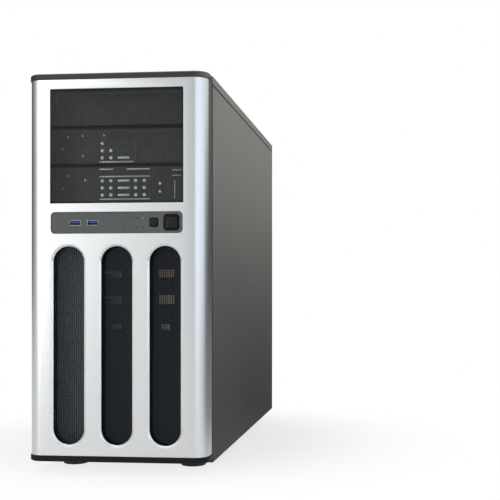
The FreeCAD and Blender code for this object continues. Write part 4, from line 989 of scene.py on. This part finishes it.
# The floor's own white: how much of it shows near the case and away from it, and how bright it is in mirrors,
# where a painted shade dims it towards the right rear.
FLOOR_HALF = 6.0
FLOOR_NEAR = 0.12
FLOOR_FAR = 0.42
FLOOR_NEAR_SHARE = 0.74
FADE_SLANT = 0.7
FADE_START = 0.02
FADE_STOP = 0.42
MIRROR_BRIGHT = 0.74
MIRROR_DIM = 0.20


def floor_plane():
    mesh = bpy.data.meshes.new("floor")
    r = FLOOR_HALF
    mesh.from_pydata([(-r, -r, 0), (r, -r, 0), (r, r, 0), (-r, r, 0)], [], [(0, 1, 2, 3)])
    obj = bpy.data.objects.new("floor", mesh)
    bpy.context.scene.collection.objects.link(obj)
    mat, tree, bsdf, coord = tree_of("floor_pale")
    tree.links.new(ramp(tree, noise(tree, coord, 3.0), (0.60, 0.60, 0.60), (0.62, 0.62, 0.62)),
                   bsdf.inputs["Base Color"])
    bsdf.inputs["Roughness"].default_value = 0.95
    bsdf.inputs["Specular IOR Level"].default_value = 0.0
    glow = tree.nodes.new("ShaderNodeEmission")
    length = tree.nodes.new("ShaderNodeVectorMath")
    length.operation = "LENGTH"
    tree.links.new(coord, length.inputs[0])
    away = remap(tree, length.outputs["Value"], FLOOR_NEAR, FLOOR_FAR, FLOOR_NEAR_SHARE, 1.0, smooth=True)
    axes = tree.nodes.new("ShaderNodeSeparateXYZ")
    tree.links.new(coord, axes.inputs["Vector"])
    rearward = link_math(tree, "MULTIPLY", axes.outputs["Y"], FADE_SLANT)
    slant = link_math(tree, "ADD", axes.outputs["X"], rearward)
    mirrored = remap(tree, slant, FADE_START, FADE_STOP, MIRROR_BRIGHT, MIRROR_DIM, smooth=True)
    straight, glossy = ray_kinds(tree)
    strength = link_math(tree, "ADD", straight, link_math(tree, "MULTIPLY", glossy, mirrored))
    tree.links.new(strength, glow.inputs["Strength"])
    share = link_math(tree, "MULTIPLY", link_math(tree, "MAXIMUM", straight, glossy), away)
    mix = tree.nodes.new("ShaderNodeMixShader")
    tree.links.new(share, mix.inputs["Fac"])
    tree.links.new(bsdf.outputs["BSDF"], mix.inputs[1])
    tree.links.new(glow.outputs["Emission"], mix.inputs[2])
    tree.links.new(mix.outputs["Shader"], tree.nodes["Material Output"].inputs["Surface"])
    dress(obj, mat)


floor_plane()


def level_ramp(tree, value, stops):
    """Piecewise level over a direction component from -1 to 1."""
    node = tree.nodes.new("ShaderNodeFloatCurve")
    curve = node.mapping.curves[0]
    node.mapping.use_clip = False
    points = [((at + 1) / 2, level) for at, level in stops]
    curve.points[0].location = points[0]
    curve.points[1].location = points[-1]
    for point in points[1:-1]:
        curve.points.new(*point)
    node.mapping.update()
    shifted = link_math(tree, "MULTIPLY", link_math(tree, "ADD", value, 1.0), 0.5)
    tree.links.new(shifted, node.inputs["Value"])
    return node.outputs["Value"]


# What mirror rays see of the studio: in front by the way to the right (X), above and behind by the rise (Z).
# Between front and back the two blend over the way to the rear (Y).
AMBIENT = 0.42
FRONT_LEVELS = ((-1.0, 0.30), (-0.72, 0.85), (-0.45, 1.0), (-0.31, 0.95), (-0.20, 0.30), (-0.05, 0.08),
                (0.45, 0.30), (1.0, 0.06))
BACK_LEVELS = ((-1.0, 0.04), (-0.05, 0.04), (0.08, 0.05), (0.35, 0.14), (0.6, 0.5), (1.0, 0.75))
ABOVE_LEVELS = ((-1.0, 0.0), (0.25, 0.0), (0.6, 0.9), (1.0, 1.0))
BACK_START = -0.1
BACK_FULL = 0.35


def studio_world():
    world = bpy.data.worlds.new("studio")
    bpy.context.scene.world = world
    world.use_nodes = True
    tree = world.node_tree
    ambient = tree.nodes["Background"]
    ambient.inputs["Color"].default_value = (1.0, 1.0, 1.0, 1)
    ambient.inputs["Strength"].default_value = AMBIENT
    white = tree.nodes.new("ShaderNodeBackground")
    white.inputs["Color"].default_value = (1.0, 1.0, 1.0, 1)
    studio = tree.nodes.new("ShaderNodeBackground")
    direction = tree.nodes.new("ShaderNodeTexCoord")
    axes = tree.nodes.new("ShaderNodeSeparateXYZ")
    tree.links.new(direction.outputs["Generated"], axes.inputs["Vector"])
    front = level_ramp(tree, axes.outputs["X"], FRONT_LEVELS)
    rise = level_ramp(tree, axes.outputs["Z"], BACK_LEVELS)
    above = level_ramp(tree, axes.outputs["Z"], ABOVE_LEVELS)
    turned = remap(tree, axes.outputs["Y"], BACK_START, BACK_FULL, 0.0, 1.0, smooth=True)
    fore = link_math(tree, "MAXIMUM", front, above)
    change = link_math(tree, "SUBTRACT", rise, fore)
    level = link_math(tree, "ADD", fore, link_math(tree, "MULTIPLY", change, turned))
    tree.links.new(level, studio.inputs["Strength"])
    straight, glossy = ray_kinds(tree)
    inner = tree.nodes.new("ShaderNodeMixShader")
    tree.links.new(glossy, inner.inputs["Fac"])
    tree.links.new(ambient.outputs["Background"], inner.inputs[1])
    tree.links.new(studio.outputs["Background"], inner.inputs[2])
    outer = tree.nodes.new("ShaderNodeMixShader")
    tree.links.new(straight, outer.inputs["Fac"])
    tree.links.new(inner.outputs["Shader"], outer.inputs[1])
    tree.links.new(white.outputs["Background"], outer.inputs[2])
    tree.links.new(outer.outputs["Shader"], tree.nodes["World Output"].inputs["Surface"])


studio_world()


def lamp(name, place, target, size, power, colour, size_y, spread_angle=180, mirrored=True, lights=True):
    """Area lamp, size wide and size_y high, which may be kept out of mirrors or shown in them alone."""
    data = bpy.data.lights.new(name, "AREA")
    data.shape = "RECTANGLE"
    data.size = size
    data.size_y = size_y
    data.spread = math.radians(spread_angle)
    data.energy = power
    data.color = colour
    obj = bpy.data.objects.new(name, data)
    bpy.context.scene.collection.objects.link(obj)
    obj.location = place
    obj.rotation_euler = (Vector(target) - Vector(place)).to_track_quat("-Z", "Y").to_euler()
    obj.visible_camera = False
    obj.visible_glossy = mirrored
    obj.visible_diffuse = lights


lamp("key", (-1.6, -2.4, 0.55), (0, -0.1, 0.25), 1.1, 20.0, (1, 1, 1), 2.8)
lamp("strip", (1.98, -2.15, 0.5), (0.1, -0.25, 0.25), 1.7, 21.0, (0.66, 0.83, 1.0), 2.6, mirrored=False)
# These two are only mirrored: the wide one in the bezel's rounded corner, the high one at its far edge.
lamp("wide", (2.23, -2.39, 0.35), (0.1, -0.25, 0.25), 5.6, 58.0, (0.80, 0.88, 1.0), 3.0, lights=False)
lamp("high", (2.45, 0.62, 1.30), (0.1, -0.25, 0.43), 2.2, 7.0, (1, 1, 1), 1.05, lights=False)
lamp("top", (-0.3, -0.1, 2.4), (0, 0, 0.2), 1.4, 22.0, (1, 1, 1), 1.4)
lamp("side", (0.95, 0.0, 0.80), (0.104, 0.0, 0.45), 1.0, 2.6, (1.0, 0.98, 0.95), 0.25, 35, mirrored=False)
lamp("back", (-0.8, 2.4, 1.5), (0, 0.2, 0.25), 1.4, 34.0, (1, 1, 1), 1.4)

bpy.context.scene.view_settings.view_transform = "Standard"
